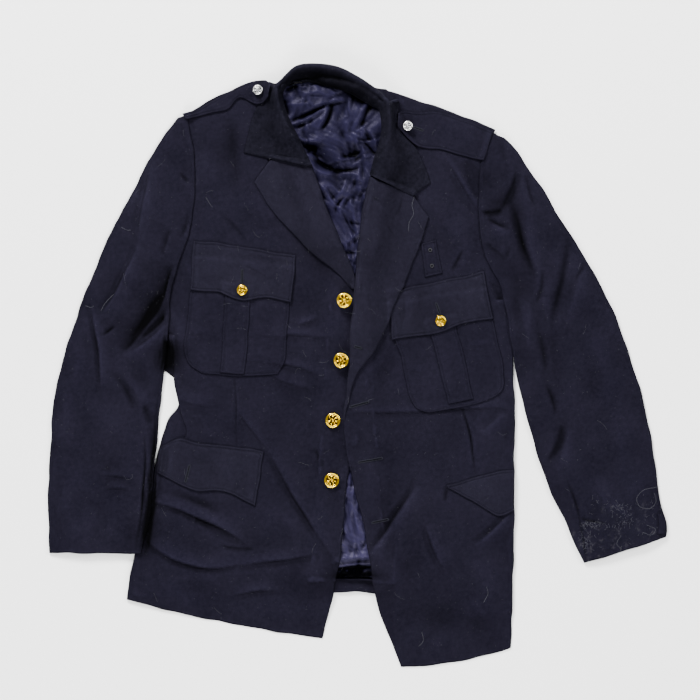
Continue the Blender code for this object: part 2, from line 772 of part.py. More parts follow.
def make_collar(grid, turned_under, field, collection):
    """The collar: stand and roll behind the neck, leaves on the fronts."""
    plan = grid[..., 0:2]
    half = COLLAR_WALL / 2
    rest = field.read(plan, 1)
    heights = np.where(turned_under, grid[..., 2], rest + half + SEAM_GAP + grid[..., 2])
    quads = turned_under[:-1, :-1] & turned_under[1:, :-1]
    quads = quads & turned_under[:-1, 1:] & turned_under[1:, 1:]
    heights = clear_of_field(plan, heights, field, half * 1.15 + SEAM_GAP, ~quads)
    middle = np.concatenate([plan, heights[..., None]], axis=2)
    normals = surface_normals(middle)
    lower = middle - normals * half
    upper = middle + normals * half
    for side in (lower, upper):
        side[..., 2] = np.maximum(side[..., 2], 0)
    over = np.where(turned_under[..., None], np.array([0, 0, 0]), upper)
    over[..., 0:2] = upper[..., 0:2]
    field.lay(over)
    return wall_object("collar", "collar_wool", lower, upper, collection)


def make_button(spot, field, collection):
    """A domed button, turned round its own axis, lying on the cloth."""
    height = spot.radius * BUTTON_HEIGHT_RATIO
    angles = np.linspace(0, 2 * math.pi, 13)[:-1]
    rings = [(spot.x + r * math.cos(a), spot.y + r * math.sin(a))
             for a in angles for r in (0, spot.radius / 2, spot.radius * 0.85)]
    seat = field.read(np.array(rings), 0).max() + SEAM_GAP
    mesh = bpy.data.meshes.new(spot.name)
    profile = [(share * spot.radius * MM, 0, level * height * MM) for share, level in BUTTON_PROFILE]
    edges = [(i, i + 1) for i in range(len(profile) - 1)]
    mesh.from_pydata(profile, edges, [])
    item = link_object(spot.name, spot.slot, mesh, collection)
    item.location = (spot.x * MM, spot.y * MM, seat * MM)
    turn = item.modifiers.new("turn", "SCREW")
    turn.axis = "Z"
    turn.steps = BUTTON_SIDES
    turn.render_steps = BUTTON_SIDES
    turn.use_merge_vertices = True
    turn.merge_threshold = 0.00001
    turn.use_smooth_shade = True
    return item


def make_eyelet(spot, field, collection):
    """A metal ring set in the badge tab."""
    around = [(spot.x, spot.y), (spot.x + 3, spot.y), (spot.x - 3, spot.y)]
    around += [(spot.x, spot.y + 3), (spot.x, spot.y - 3)]
    seat = field.read(np.array(around), 1).max() + SEAM_GAP
    bpy.ops.mesh.primitive_torus_add(
        major_segments=12,
        minor_segments=6,
        major_radius=(spot.radius - EYELET_WIRE) * MM,
        minor_radius=EYELET_WIRE * MM,
        location=(spot.x * MM, spot.y * MM, (seat + EYELET_WIRE) * MM),
    )
    item = bpy.context.object
    item.name = spot.name
    item.data.name = spot.name
    item.data.materials.append(make_material(spot.name + "_finish", spot.slot))
    item.data.shade_smooth()
    for owner in list(item.users_collection):
        owner.objects.unlink(item)
    collection.objects.link(item)
    return item


def build_jacket():
    """Lay the jacket from the floor up."""
    clear_scene()
    jacket = make_collection("service_dress_jacket")
    field = HeightField()
    collar_grid, turned_under = collar_surface()
    tuck_collar(collar_grid, turned_under, field)

    lay_panel("back", "wool", BACK, WOOL_WALL, BACK_GRID, NO_FOLDS, field, jacket)
    for name, rows in (("sleeve_right_under", SLEEVE_RIGHT), ("sleeve_left_under", SLEEVE_LEFT)):
        lay_panel(name, "wool", rows, WOOL_WALL, FLAT_GRID, NO_FOLDS, field, jacket, inset=4.0)
    for name, rows in (("side_panel_right", SIDE_PANEL_RIGHT), ("side_panel_left", SIDE_PANEL_LEFT)):
        lay_panel(name, "wool", rows, WOOL_WALL, PANEL_GRID, NO_FOLDS, field, jacket)
    lay_panel("back_lining", "satin", BACK_LINING, LINING_WALL, LINING_GRID, LINING_FOLDS, field, jacket)
    lay_panel("back_hem", "wool", BACK_HEM, HEM_WALL, PANEL_GRID, NO_FOLDS, field, jacket)
    lay_panel("front_right", "wool", FRONT_RIGHT, FRONT_WALL, PANEL_GRID, FRONT_RIGHT_FOLDS, field, jacket)
    lay_panel("front_left", "wool", FRONT_LEFT, FRONT_WALL, PANEL_GRID, FRONT_LEFT_FOLDS, field, jacket)
    lay_panel("sleeve_right", "wool", SLEEVE_RIGHT, WOOL_WALL, 20.0, SLEEVE_RIGHT_FOLDS, field, jacket)
    lay_panel("sleeve_left", "wool", SLEEVE_LEFT, WOOL_WALL, 20.0, SLEEVE_LEFT_FOLDS, field, jacket)

    trims = (
        ("chest_pocket_right", CHEST_POCKET_RIGHT, POCKET_WALL, 22.0),
        ("chest_pocket_left", CHEST_POCKET_LEFT, POCKET_WALL, 22.0),
        ("pleat_right", PLEAT_RIGHT, POCKET_WALL, 18.0),
        ("pleat_left", PLEAT_LEFT, POCKET_WALL, 18.0),
        ("chest_flap_right", CHEST_FLAP_RIGHT, FLAP_WALL, TRIM_GRID),
        ("chest_flap_left", CHEST_FLAP_LEFT, FLAP_WALL, TRIM_GRID),
        ("lower_flap_right", LOWER_FLAP_RIGHT, FLAP_WALL, TRIM_GRID),
        ("lower_flap_left", LOWER_FLAP_LEFT, FLAP_WALL, TRIM_GRID),
        ("badge_tab", BADGE_TAB, POCKET_WALL, TRIM_GRID),
    )
    for name, rows, wall, spacing in trims:
        lay_panel(name, "wool", rows, wall, spacing, NO_FOLDS, field, jacket)
    lay_panel("lapel_right", "collar_wool", LAPEL_RIGHT, COLLAR_WALL, TRIM_GRID, NO_FOLDS, field, jacket)
    lay_panel("lapel_left", "collar_wool", LAPEL_LEFT, COLLAR_WALL, TRIM_GRID, NO_FOLDS, field, jacket)
    make_collar(collar_grid, turned_under, field, jacket)
    lay_panel("epaulette_right", "wool", EPAULETTE_RIGHT, FLAP_WALL, TRIM_GRID, NO_FOLDS, field, jacket)
    lay_panel("epaulette_left", "wool", EPAULETTE_LEFT, FLAP_WALL, TRIM_GRID, NO_FOLDS, field, jacket)
    lay_panel("cuff_tab", "wool", CUFF_TAB, POCKET_WALL, TRIM_GRID, NO_FOLDS, field, jacket)
    for spot in SPOTS:
        make_button(spot, field, jacket)
    for spot in EYELETS:
        make_eyelet(spot, field, jacket)


build_jacket()
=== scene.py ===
"""Looks of the service dress jacket: fine cloth, lining, sewing, buttons, light and camera.

The frame is in metres. Tables of sections, folds and places are in millimetres,
and every mesh is made in millimetres and scaled once. Right and left are the
wearer's: the viewer's left is the wearer's right.
"""
import math
from collections import namedtuple

import bpy
import numpy as np
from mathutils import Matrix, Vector


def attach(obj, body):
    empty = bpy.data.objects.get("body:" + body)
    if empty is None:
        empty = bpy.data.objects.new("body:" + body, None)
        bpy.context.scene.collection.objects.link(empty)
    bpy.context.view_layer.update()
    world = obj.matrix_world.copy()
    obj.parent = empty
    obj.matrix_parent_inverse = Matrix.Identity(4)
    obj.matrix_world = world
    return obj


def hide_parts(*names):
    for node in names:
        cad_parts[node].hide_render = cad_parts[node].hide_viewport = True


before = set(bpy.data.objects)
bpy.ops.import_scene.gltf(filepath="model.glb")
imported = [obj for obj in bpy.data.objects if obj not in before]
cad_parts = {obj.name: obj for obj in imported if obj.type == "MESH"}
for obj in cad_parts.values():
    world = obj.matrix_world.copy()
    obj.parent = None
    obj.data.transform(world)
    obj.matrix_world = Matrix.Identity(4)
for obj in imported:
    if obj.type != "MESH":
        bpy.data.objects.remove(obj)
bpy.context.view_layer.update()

MM = 0.001
SEED = 7

# Cloth walls and clearances
SEAM_GAP = 0.3
WOOL_WALL = 2.0
FRONT_WALL = 2.2
LINING_WALL = 1.0
POCKET_WALL = 1.4
FLAP_WALL = 2.0
COLLAR_WALL = 2.4
HEM_WALL = 1.5
TUCK_HEIGHT = 4.0

# Spacing of the fine meshes
PANEL_GRID = 2.2
SLEEVE_GRID = 2.0
PLAIN_GRID = 12.0
BACK_GRID = 6.5
LINING_GRID = 1.65
TRIM_GRID = 1.5
COLLAR_GRID = 1.8

# Lines close to the edges, so that an edge turns over roundly
EDGE_LINES = (0.0, 0.35, 0.9, 1.8, 2.9, 3.6, 4.3)

# Edge stitching: how far in it lies, and the groove that it draws into the cloth
STITCH_INSET = 3.6
STITCH_PITCH = 2.6
STITCH_LENGTH = 1.9
THREAD_RADIUS = 0.16
GROOVE_DEPTH = 0.55
GROOVE_WIDTH = 0.9

# Share of the collar's width that is joined to the lapel
GORGE_SHARE = 0.66

# How far outlines waver from their tables
WAVER = 0.45

# Crushed satin: half wavelength and height of each set of facets
CRUMPLE = ((44, 2.6), (31, 1.9), (23, 1.4), (16, 1.1), (12, 0.8), (9, 0.4))

# Folds: how high they stand against their tables, and the dip at a steep side's foot
FOLD_GAIN = 0.85
SHARP_GAIN = 1.5
LINE_DEPTH = 0.8
LINE_WIDTH = 1.7
FOOT_SHARE = 0.35
TROUGH_SHARE = 0.65
WIGGLE = 0.5
WIGGLE_LENGTH = 11

# Painted shade: how strongly the hollows in SHADES darken the colour, and how far in from an edge the
# painted edge shade reaches
SHADE_SHARE = 0.035
EDGE_SHADE_WIDTH = 1.5

# How far from a piece's first edge its cap is felt, and how thin its end becomes where it fades
CAP_FADE = 60
END_WALL_SHARE = 0.35

# Points that smooth curves get between two rows of a table
SECTION_STEPS = 12
STATION_STEPS = 20

# Collar: the widest leaf and its lines, points on the curve across it (the crest is
# the third of its sections), and how far the left leaf's end is drawn out, and where
LEAF_WIDTH = 90.0
LEAF_GRID = 3.0
CURVE_STEPS = 10
CREST_POINT = 2
LEAF_CORNER = 0.74
LEAF_DRAW = 21
LEAF_FADE = 36

# Where the collar's curve passes beside its crest: behind it, at the foot in front of
# it, and as shares of the way down to the outer edge
BEHIND_CREST = 3
FOOT_IN_FRONT = 4
ON_CLOTH = 0.45
NEAR_EDGE = 0.8

# The collar is thin for some way at both ends of its inner part, at the gorge seam
GORGE_LENGTH = 9
GORGE_WALL_SHARE = 0.12

# The inside of the collar behind the neck is painted in shade: across what share, and how much
NECK_SHARE = 0.38
NECK_SHADE = -7.0

# Buttons: face against the whole, thickness of the body, mesh, rosette, and the edge
# as (share of the radius, share of the thickness)
FACE_SHARE = 0.92
BODY_SHARE = 0.10
BUTTON_RINGS = 34
BUTTON_SIDES = 84
PETALS = 7
BEADS = 30
POLISHED_FROM = 0.80
POLISH = 0.13
BUTTON_EDGE = ((1.0, 0.62), (0.97, 0.25), (0.80, 0.0))

# Eyelets: steps round the ring and round its wire, the wire's radius, and the radius of the dark disc in
# each hole, a painted shadow
RING_STEPS = 28
WIRE_STEPS = 10
WIRE_RADIUS = 0.5
EYELET_SHADOW_RADIUS = 1.5

# Spacing and radius of the thread that binds buttonholes, and radii of the dark tube along
# their slit, a painted shadow, and of the stray threads
WRAP_PITCH = 0.42
WRAP_RADIUS = 0.17
SLIT_SHADOW_RADIUS = 0.42
STRAY_RADIUS = 0.11

# Loose fibres stay where the cloth is at least this high
CLOTH_LEVEL = 2.0

# Laying: half the side and the cell of the height field, and the lift that is left out
FIELD_HALF = 450.0
FIELD_CELL = 1.5
CLOSE_ENOUGH = 0.02

# Colours as red, green, blue and opacity
NAVY_DARK = (0.003674, 0.003256, 0.006513, 1)
NAVY_LIGHT = (0.007682, 0.006763, 0.01227, 1)
WORN_DARK = (0.004676, 0.004175, 0.007682, 1)
WORN_LIGHT = (0.008684, 0.007849, 0.01353, 1)
COLLAR_DARK = (0.001587, 0.001503, 0.003006, 1)
COLLAR_LIGHT = (0.00668, 0.006179, 0.01035, 1)
VIOLET_DARK = (0.003507, 0.003006, 0.008768, 1)
VIOLET_LIGHT = (0.007348, 0.006346, 0.01687, 1)
SPECK = (0.1336, 0.1336, 0.1503, 1)
DUST = (0.09185, 0.08767, 0.1002, 1)
NAVY_THREAD = (0.004592, 0.004342, 0.007933, 1)
BINDING_THREAD = (0.01169, 0.01169, 0.0167, 1)
SLIT_SHADOW = (0.00167, 0.00167, 0.002505, 1)
PALE_LINT = (0.07097, 0.07097, 0.08183, 1)
FLOOR_WHITE = (0.97, 0.97, 0.97, 1)

# Metals as bright, middle and dark colour
GILT = ((0.86, 0.585, 0.018, 1), (0.46, 0.25, 0.006, 1), (0.026, 0.0105, 0.001, 1))
WHITE_METAL = ((0.8556, 0.8556, 0.837, 1), (0.3906, 0.3906, 0.3999, 1), (0.0465, 0.0465, 0.0558, 1))
EYELET_METAL = ((0.05115, 0.05115, 0.0558, 1), (0.0279, 0.0279, 0.03069, 1), (0.00744, 0.00744, 0.0093, 1))

# Painted shade and highlight: how much darker the cloth is painted in its hollows and lighter on its crests,
# as stops from the deepest hollow to the highest crest
WOOL_SHADE = [
    (0.03, (0.06, 0.06, 0.06, 1)),
    (0.24, (0.45, 0.45, 0.45, 1)),
    (0.5, (1, 1, 1, 1)),
    (0.88, (1.6, 1.6, 1.65, 1)),
]
SATIN_SHADE = [
    (0.2, (0.04, 0.04, 0.04, 1)),
    (0.5, (1, 1, 1, 1)),
    (0.8, (1.7, 1.7, 1.75, 1)),
]
# The satin's gloss by the same stops: painted reflection, dimmed in the hollows and brighter on the crests
SATIN_GLOSS = [
    (0.26, (0.00835, 0.00835, 0.01252, 1)),
    (0.5, (0.2004, 0.1837, 0.2756, 1)),
    (0.66, (0.4342, 0.4008, 0.5511, 1)),
]

# Heights on the jacket, in metres, between which cuff dust begins, and between which the satin is painted
# from darker at the neck to brighter at the hem, as painted light
DUST_TOP = -0.165
DUST_FULL = -0.215
SATIN_LIGHT_TOP = 0.30
SATIN_LIGHT_BOTTOM = -0.16
DUST_SHARE = 0.24

# Studio, in metres
CAMERA_HEIGHT = 3.2
SENSOR_WIDTH = 36.0
FRAME_SPAN = 0.980
VIEW_CENTRE = (-0.0105, 0.0224)
FLOOR_HALF = 4.0
FLOOR_LEVEL = -0.0002
SKY_STRENGTH = 0.36

# The edges of a piece, in the order in which distances to them are kept
LEFT, RIGHT, FIRST, LAST = range(4)

# A line across a piece between its left and right edges: bow pushes its middle
# outwards in the plane, and loft raises its middle
Section = namedtuple("Section", "left_x left_y right_x right_y bow loft")

# A ridge (height above 0) or trough (below 0): width is its gentle side, to the
# left of the way it runs, and steep its other side
Fold = namedtuple("Fold", "from_x from_y to_x to_y bend width steep height")

# Shape of a piece's first edge: offset outwards at each share of the way across
Cap = namedtuple("Cap", "share offset")

# A line across the collar: its inner edge, its crest and how high that rises, its
# outer edge, and whether it is turned under (tuck)
CollarStation = namedtuple(
    "CollarStation", "inner_x inner_y crest_x crest_y rise outer_x outer_y tuck"
)

# A rolled edge: which edge, how high, how round, and how far down it falls away
Roll = namedtuple("Roll", "side height radius reach")

Spot = namedtuple("Spot", "name x y radius slot")

Hole = namedtuple("Hole", "name from_x from_y to_x to_y")

# Loose fibres: how many, in which box, how long, how curly and how thick
Drift = namedtuple("Drift", "name count low_x high_x low_y high_y shortest longest curl radius")

Lamp = namedtuple("Lamp", "name place size power")

LAMPS = [
    Lamp("key", (-1.2, 2.9, 1.9), 1.0, 444),
    Lamp("fill", (2.2, 1.2, 2.0), 1.6, 132),
    Lamp("front", (-0.6, -2.2, 1.9), 1.6, 156),
]

# Pieces, from the floor up: each table runs from the neck or shoulder to the hem, or
# along a flap or strap
BACK = [
    Section(-102, 386, 40, 388.5, 4, 0),
    Section(-165, 372, 92, 348, 4, 0),
    Section(-236, 336, 188, 316, 0, 0),
    Section(-226, 300, 172, 285, 0, 0),
    Section(-224, 246, 168, 228, 0, 0),
    Section(-228, 200, 168, 180, 0, 0),
    Section(-248, 140, 182, 140, 0, 0),
    Section(-261, 90, 203, 95, 0, 0),
    Section(-270, 40, 211, 50, 0, 0),
    Section(-275, 8, 213, 10, 0, 0),
    Section(-270, -7, 213, -7, 0, 0),
    Section(-256, -16, 214, -30, 0, 0),
    Section(-248, -55, 215, -60, 0, 0),
    Section(-260, -82, 215, -100, 0, 0),
    Section(-273, -125, 214, -150, 0, 0),
    Section(-284, -174, 214, -200, 0, 0),
    Section(-298, -240, 213, -270, 0, 0),
    Section(-305, -290, 212, -320, 10, 0),
    Section(-308, -320, 212, -350, 22, 0),
]

SIDE_PANEL_RIGHT = [
    Section(-262, 40, -215, 40, 0, 0),
    Section(-257, -5, -215, -5, 0, 0),
    Section(-250, -52, -214, -55, 0, 0.5),
    Section(-264, -74, -214, -80, 0, 1),
    Section(-278, -112, -216, -112, 0, 1),
    Section(-286, -160, -222, -160, 0, 0),
    Section(-302, -240, -235, -245, 0, 0),
    Section(-316, -318, -250, -332, 0, 0),
]

SIDE_PANEL_LEFT = [
    Section(165, 90, 204, 90, 0, 0),
    Section(168, 0, 214, 0, 0, 0),
    Section(170, -100, 216, -100, 0, 0),
    Section(168, -220, 215, -220, 0, 0),
    Section(165, -345, 211, -340, 0, 0),
]

BACK_LINING = [
    Section(-105, 389, 35, 363, 20, 0),
    Section(-108, 365, 42, 335, 8, 1),
    Section(-104, 330, 45, 305, 0, 2),
    Section(-90, 290, 42, 270, 0, 2),
    Section(-76, 250, 34, 235, 0, 1.5),
    Section(-60, 205, 26, 195, 0, 1),
    Section(-44, 160, 18, 160, 0, 0.5),
    Section(-36, 110, 14, 110, 0, 0),
    Section(-40, 40, 20, 40, 0, 0),
    Section(-45, -40, 20, -40, 0, 0),
    Section(-50, -120, 25, -120, 0, 0),
    Section(-55, -200, 30, -200, 0, 1),
    Section(-60, -255, 40, -257, 0, 1.5),
    Section(-64, -294, 50, -296, 0, 0),
]

BACK_HEM = [
    Section(-76, -297, 62, -298, 0, 0),
    Section(-76, -326, 62, -322, 8, 0),
]

FRONT_RIGHT = [
    Section(-242, 350, -112, 396, 11, 0),
    Section(-234, 320, -108, 372, 4, 1.5),
    Section(-230, 285, -94, 340, 0, 2.5),
    Section(-230, 246, -74, 299, 0, 3),
    Section(-232, 214, -51, 242, 0, 3),
    Section(-241, 176, -34, 197, 0, 3),
    Section(-259, 127, -15, 150, 0, 2.5),
    Section(-265, 90, 6, 98, 0, 2),
    Section(-265, 50, 14, 40, 0, 1.5),
    Section(-258, 0, 13, -20, 0, 1.5),
    Section(-255, -31, 4, -70, 0, 1),
    Section(-248, -62, -6, -118, 0, 1),
    Section(-241, -98, -13, -150, 0, 1),
    Section(-278, -126, -16, -180, 0, 1),
    Section(-290, -174, -20, -224, 0, 1.5),
    Section(-303, -223, -24, -265, 0, 1.5),
    Section(-313, -267, -30, -300, 0, 1.5),
    Section(-319, -300, -38, -340, 0, 1),
    Section(-323, -327, -50, -381, -5, 0),
]

FRONT_LEFT = [
    Section(40, 386, 194, 331, 2, 0),
    Section(39, 361, 184, 312, 0, 1.5),
    Section(34, 326, 175, 290, 0, 2.5),
    Section(25, 292, 173, 266, 0, 3),
    Section(16, 254, 172, 228, 0, 3),
    Section(8, 211, 173, 203, 0, 3),
    Section(4, 177, 175, 172, 0, 2.5),
    Section(-1, 131, 186, 141, 0, 2),
    Section(-5, 100, 203, 110, 0, 2),
    Section(-8, 60, 213, 60, 0, 1.5),
    Section(-10, 22, 217, 20, 0, 1),
    Section(-13, -15, 218, -20, 0, 1),
    Section(-15, -42, 221, -66, 0, 1),
    Section(-20, -85, 219, -110, 0, 1),
    Section(-15, -125, 219, -150, 0, 1),
    Section(-4, -172, 220, -190, 0, 1.5),
    Section(8, -220, 219, -225, 0, 2),
    Section(17, -275, 218, -270, 0, 2),
    Section(28, -335, 217, -320, 0, 1.5),
    Section(44, -378, 216, -360, 0, 1),
    Section(61, -421, 214, -394, -7, 0),
]

LAPEL_RIGHT = [
    Section(-145, 256, -62, 272, 0, 1),
    Section(-134, 238, -51, 242, 0, 2),
    Section(-121, 220, -41, 216, 0, 2),
    Section(-98, 193, -30, 191, 0, 2),
    Section(-74, 168, -20, 166, 0, 1.5),
    Section(-50, 146, -10, 143, 0, 1),
    Section(-25, 125, -3, 121, 0, 0.5),
    Section(-9, 108, 1, 105, 0, 0),
]

LAPEL_RIGHT_CAP = [Cap(0.0, 0.0), Cap(0.334, 27.0), Cap(0.40, 28.5), Cap(1.0, 7.0)]

LAPEL_LEFT = [
    Section(16, 262, 100, 208, 0, 1),
    Section(10, 236, 94, 190, 0, 2),
    Section(4, 196, 84, 160, 0, 2),
    Section(1, 172, 75, 140, 0, 2),
    Section(-2, 146, 63, 108, 0, 1.5),
    Section(-4, 118, 52, 85, 0, 1.5),
    Section(-6, 88, 38, 48, 0, 1),
    Section(-10, 55, 22, 18, 0, 1),
    Section(-12, 18, 3, -6, 0, 0.5),
    Section(-14, -18, -6.5, -26, 0, 0.3),
    Section(-17, -48, -13, -54, 0, 0),
    Section(-20, -74, -18, -78, 0, 0),
]

LAPEL_LEFT_CAP = [Cap(0.0, 2.0), Cap(0.62, 14.5), Cap(0.66, 13.0), Cap(1.0, 0.0)]

COLLAR = [
    CollarStation(-62, 276, -73, 277, 3, -159, 298, 0),
    CollarStation(-72, 297, -83, 299, 4, -154, 317, 0),
    CollarStation(-82, 318, -93, 322, 6, -148, 342, 0),
    CollarStation(-93, 339, -104, 345, 8, -140, 363, 0),
    CollarStation(-101, 360, -112, 368, 12, -134, 378, 0),
    CollarStation(-104, 378, -113, 388, 16, -125, 396, 0),
    CollarStation(-99, 390, -101, 401, 21, -98, 392, 1),
    CollarStation(-86, 396, -84, 415, 24, -80, 401, 1),
    CollarStation(-61, 395, -57, 417.5, 25, -60, 402, 1),
    CollarStation(-37, 388, -28, 413, 25, -36, 398, 1),
    CollarStation(-13, 381, -3, 401, 24, -12, 388, 1),
    CollarStation(2, 373, 16, 389, 22, 6, 377, 1),
    CollarStation(17, 364, 31, 378, 19, 24, 370, 1),
    CollarStation(29, 358, 43, 366, 14, 56, 371, 0),
    CollarStation(33, 343, 45, 345, 10, 56, 349, 0),
    CollarStation(33, 325, 45, 325, 8, 63, 326, 0),
    CollarStation(29, 307, 41, 306, 6, 81, 305, 0),
    CollarStation(23, 289, 34, 287, 5, 93, 281, 0),
    CollarStation(17, 266, 28, 264, 4, 102, 256, 0),
]

SLEEVE_RIGHT = [
    Section(-251, 347, -238, 351, 0, 1),
    Section(-272, 320, -231, 318, 0, 2),
    Section(-292, 288, -228, 290, 0, 2.5),
    Section(-309, 254, -227, 262, 0, 3),
    Section(-327, 220, -228, 232, 0, 3.5),
    Section(-345, 187, -231, 204, 0, 3.5),
    Section(-360, 153, -238, 176, 0, 3.5),
    Section(-374, 120, -251, 140, 0, 3.5),
    Section(-387, 86, -260, 105, 0, 3.5),
    Section(-398, 52, -262, 70, 0, 3.5),
    Section(-410, 19, -266, 30, 0, 3),
    Section(-418, -15, -270, -8, 0, 3),
    Section(-425, -48, -274, -42, 0, 3),
    Section(-429, -99, -279, -92, 0, 3),
    Section(-432, -149, -284, -145, 0, 3),
    Section(-433, -200, -287, -195, 0, 2.5),
    Section(-432, -235, -293, -228, 0, 2.5),
    Section(-432, -261, -303, -263, 0, 2),
]

SLEEVE_LEFT = [
    Section(189, 327, 206, 320, 0, 1),
    Section(179, 305, 222, 302, 0, 2),
    Section(172, 285, 243, 270, 0, 2.5),
    Section(170, 262, 262, 243, 0, 3),
    Section(169, 235, 279, 214, 0, 3.5),
    Section(170, 205, 297, 186, 0, 3.5),
    Section(173, 170, 314, 158, 0, 3.5),
    Section(184, 140, 331, 129, 0, 3.5),
    Section(199, 112, 346, 102, 0, 3.5),
    Section(208, 75, 361, 71, 0, 3.5),
    Section(214, 32, 374, 33, 0, 3),
    Section(220, -3, 386, -4, 0, 3),
    Section(227, -34, 397, -36, 0, 3),
    Section(236, -68, 406, -76, 0, 3),
    Section(246, -106, 413, -116, 0, 3),
    Section(258, -145, 419, -158, 0, 3),
    Section(273, -182, 425, -194, 0, 2.5),
    Section(290, -217, 431, -216, 0, 2.5),
    Section(303, -247, 433, -232, 0, 2.5),
    Section(316, -276, 432, -240, 0, 2),
]

CHEST_POCKET_RIGHT = [
    Section(-230, 150, -90, 136, 0, 0),
    Section(-234, 101, -94, 88, 0, 0),
    Section(-239, 55, -98, 50, 0, 0),
    Section(-243, 22, -100, 20, 0, 0),
    Section(-236, 3, -104, 2, 0, 0),
    Section(-218, -9, -112, -11, -5, 0),
]

CHEST_POCKET_LEFT = [
    Section(44, 84, 180, 105, 0, 0),
    Section(50, 45, 190, 62, 0, 0),
    Section(60, 12, 199, 22, 0, 0),
    Section(67, -18, 204, -5, 0, 0),
    Section(72, -42, 205, -26, 0, 0),
    Section(82, -58, 197, -39, 0, 0),
    Section(99, -65, 180, -48, -3, 0),
]

PLEAT_RIGHT = [
    Section(-184, 112, -149, 108, 0, 0),
    Section(-188, 50, -152, 48, 0, 0),
    Section(-192, -10, -158, -12, 0, 0),
]

PLEAT_LEFT = [
    Section(98, 60, 135, 68, 0, 0),
    Section(113, 0, 150, 8, 0, 0),
    Section(127, -54, 162, -46, 0, 0),
]

CHEST_FLAP_RIGHT = [
    Section(-230, 176, -234, 106, 0, 0),
    Section(-194, 172, -194, 102, 0, 0.5),
    Section(-163, 167, -161, 91, 0, 0.5),
    Section(-125, 161, -123, 95, 0, 0.5),
    Section(-86, 155, -92, 88, 0, 0),
]

CHEST_FLAP_LEFT = [
    Section(44, 103, 48, 36, 0, 0),
    Section(75, 111, 76, 41, 0, 0.5),
    Section(112, 118, 113, 45, 0, 0.5),
    Section(145, 125, 146, 58, 0, 0.5),
    Section(176, 133, 190, 66, 0, 0),
]

LOWER_FLAP_RIGHT = [
    Section(-277, -112, -281, -148, 0, 0),
    Section(-250, -101, -252, -164, 0, 0.5),
    Section(-216, -108, -225, -174, 0, 1),
    Section(-169, -113, -182, -177, 0, 1),
    Section(-131, -119, -142, -197, 0, 0),
]

LOWER_FLAP_LEFT = [
    Section(124, -167, 127, -171, 0, 0),
    Section(148, -160, 150, -183, 0, 0.5),
    Section(172, -153, 172, -196, 0, 1),
    Section(196, -146, 196, -209, 0, 1),
    Section(219, -145, 219, -202, 0, 0),
]

EPAULETTE_RIGHT = [
    Section(-245, 352, -240, 344, 0, 0),
    Section(-218, 363, -212, 351, 0, 0.5),
    Section(-190, 378, -182, 358, 0, 1),
    Section(-165, 391, -166, 374, 0, 1.5),
    Section(-146, 398, -146, 366, 0, 1),
    Section(-130, 399, -134, 366, 0, 0),
    Section(-121, 393, -124, 376, 0, 0),
]

EPAULETTE_LEFT = [
    Section(56, 352, 57, 334, 0, 0),
    Section(66, 356, 70, 318, 0, 0),
    Section(84, 355, 86, 306, 0, 0.5),
    Section(112, 355, 112, 302, 0, 1),
    Section(145, 346, 143, 294, 0, 1),
    Section(172, 335, 166, 288, 0, 0.5),
    Section(190, 327, 176, 286, 0, 0),
]

BADGE_TAB = [
    Section(89, 172, 110, 176, 0, 0),
    Section(91, 148, 114, 153, 0, 0),
    Section(94, 124, 118, 129, 0, 0),
]

CUFF_TAB = [
    Section(418, -206, 429, -209, 0, 0),
    Section(420, -222, 431, -224, 0, 0),
    Section(419, -236, 429, -236, 0, 0),
]

# Folds, piece by piece, where the cloth shows them
LINING_FOLDS = [
    Fold(-98, 340, -34, 374, -4, 5, 4, -6.0),
    Fold(-100, 334, -42, 364, -4, 7, 2.5, 4.0),
    Fold(-80, 351, -17, 372, 3, 6, 2.0, 3.5),
    Fold(-55, 330, -41, 366, -3, 5, 2.5, 3.0),
    Fold(-51, 330, -36, 366, -3, 3, 6, -4.0),
    Fold(-84, 318, -50, 312, -2, 6, 3, 3.5),
    Fold(-80, 308, -56, 300, 0, 6, 8, -6.0),
    Fold(-62, 300, -34, 274, -4, 9, 8, -8.0),
    Fold(-40, 276, 2, 276, -3, 5, 10, -7.0),
    Fold(-24, 292, 8, 302, -3, 7, 9, -6.5),
    Fold(-70, 296, -30, 268, -10, 4, 8, 3.0),
    Fold(-28, 268, 6, 262, 4, 8, 4, 3.0),
    Fold(4, 318, 26, 294, 0, 4, 5, -5.0),
    Fold(-10, 330, 6, 358, 2, 4, 5, -2.0),
    Fold(-4, 326, 20, 373, 4, 7, 3, 3.5),
    Fold(10, 332, 26, 308, 2, 6, 3, 3.0),
    Fold(-24, 384, 32, 356, 4, 9, 12, -7.0),
    Fold(-104, 384, -84, 392, 0, 7, 7, -5.0),
    Fold(-102, 372, -96, 346, 0, 6, 7, -4.0),
    Fold(-31, 211, -14, 238, 5, 3, 5, -3.5),
    Fold(-26, 214, -8, 240, 5, 6, 2.5, 3.0),
    Fold(-20, 213, -3, 184, -2, 3, 4, -2.6),
    Fold(-12, 202, 10, 199, -2, 3, 4, -2.4),
    Fold(-22, 158, -2, 158, 0, 3, 4, -2.4),
    Fold(-56, 256, -38, 232, 2, 8, 4, 3.0),
    Fold(-44, 250, -30, 232, 0, 4, 6, -3.0),
    Fold(-10, 262, 12, 252, 2, 7, 3, 3.0),
    Fold(0, 262, 16, 226, -3, 7, 3, 2.5),
    Fold(-46, 226, -36, 192, 0, 5, 2, -3.0),
    Fold(-16, 172, 2, 186, 0, 5, 2.5, 2.0),
    Fold(-42, -286, 40, -281, 3, 4, 7, -5.0),
    Fold(-40, -272, 34, -268, 3, 8, 3, 4.0),
    Fold(-30, -281, 12, -277, 2, 3, 2, 2.4),
    Fold(-44, -292, 44, -290, 0, 8, 6, -6.0),
    Fold(-12, -180, 4, -250, 2, 8, 3, 2.0),
    Fold(-16, -196, -22, -226, 2, 4, 2, -2.0),
    Fold(-4, -160, -8, -190, 0, 4, 2, 2.0),
]

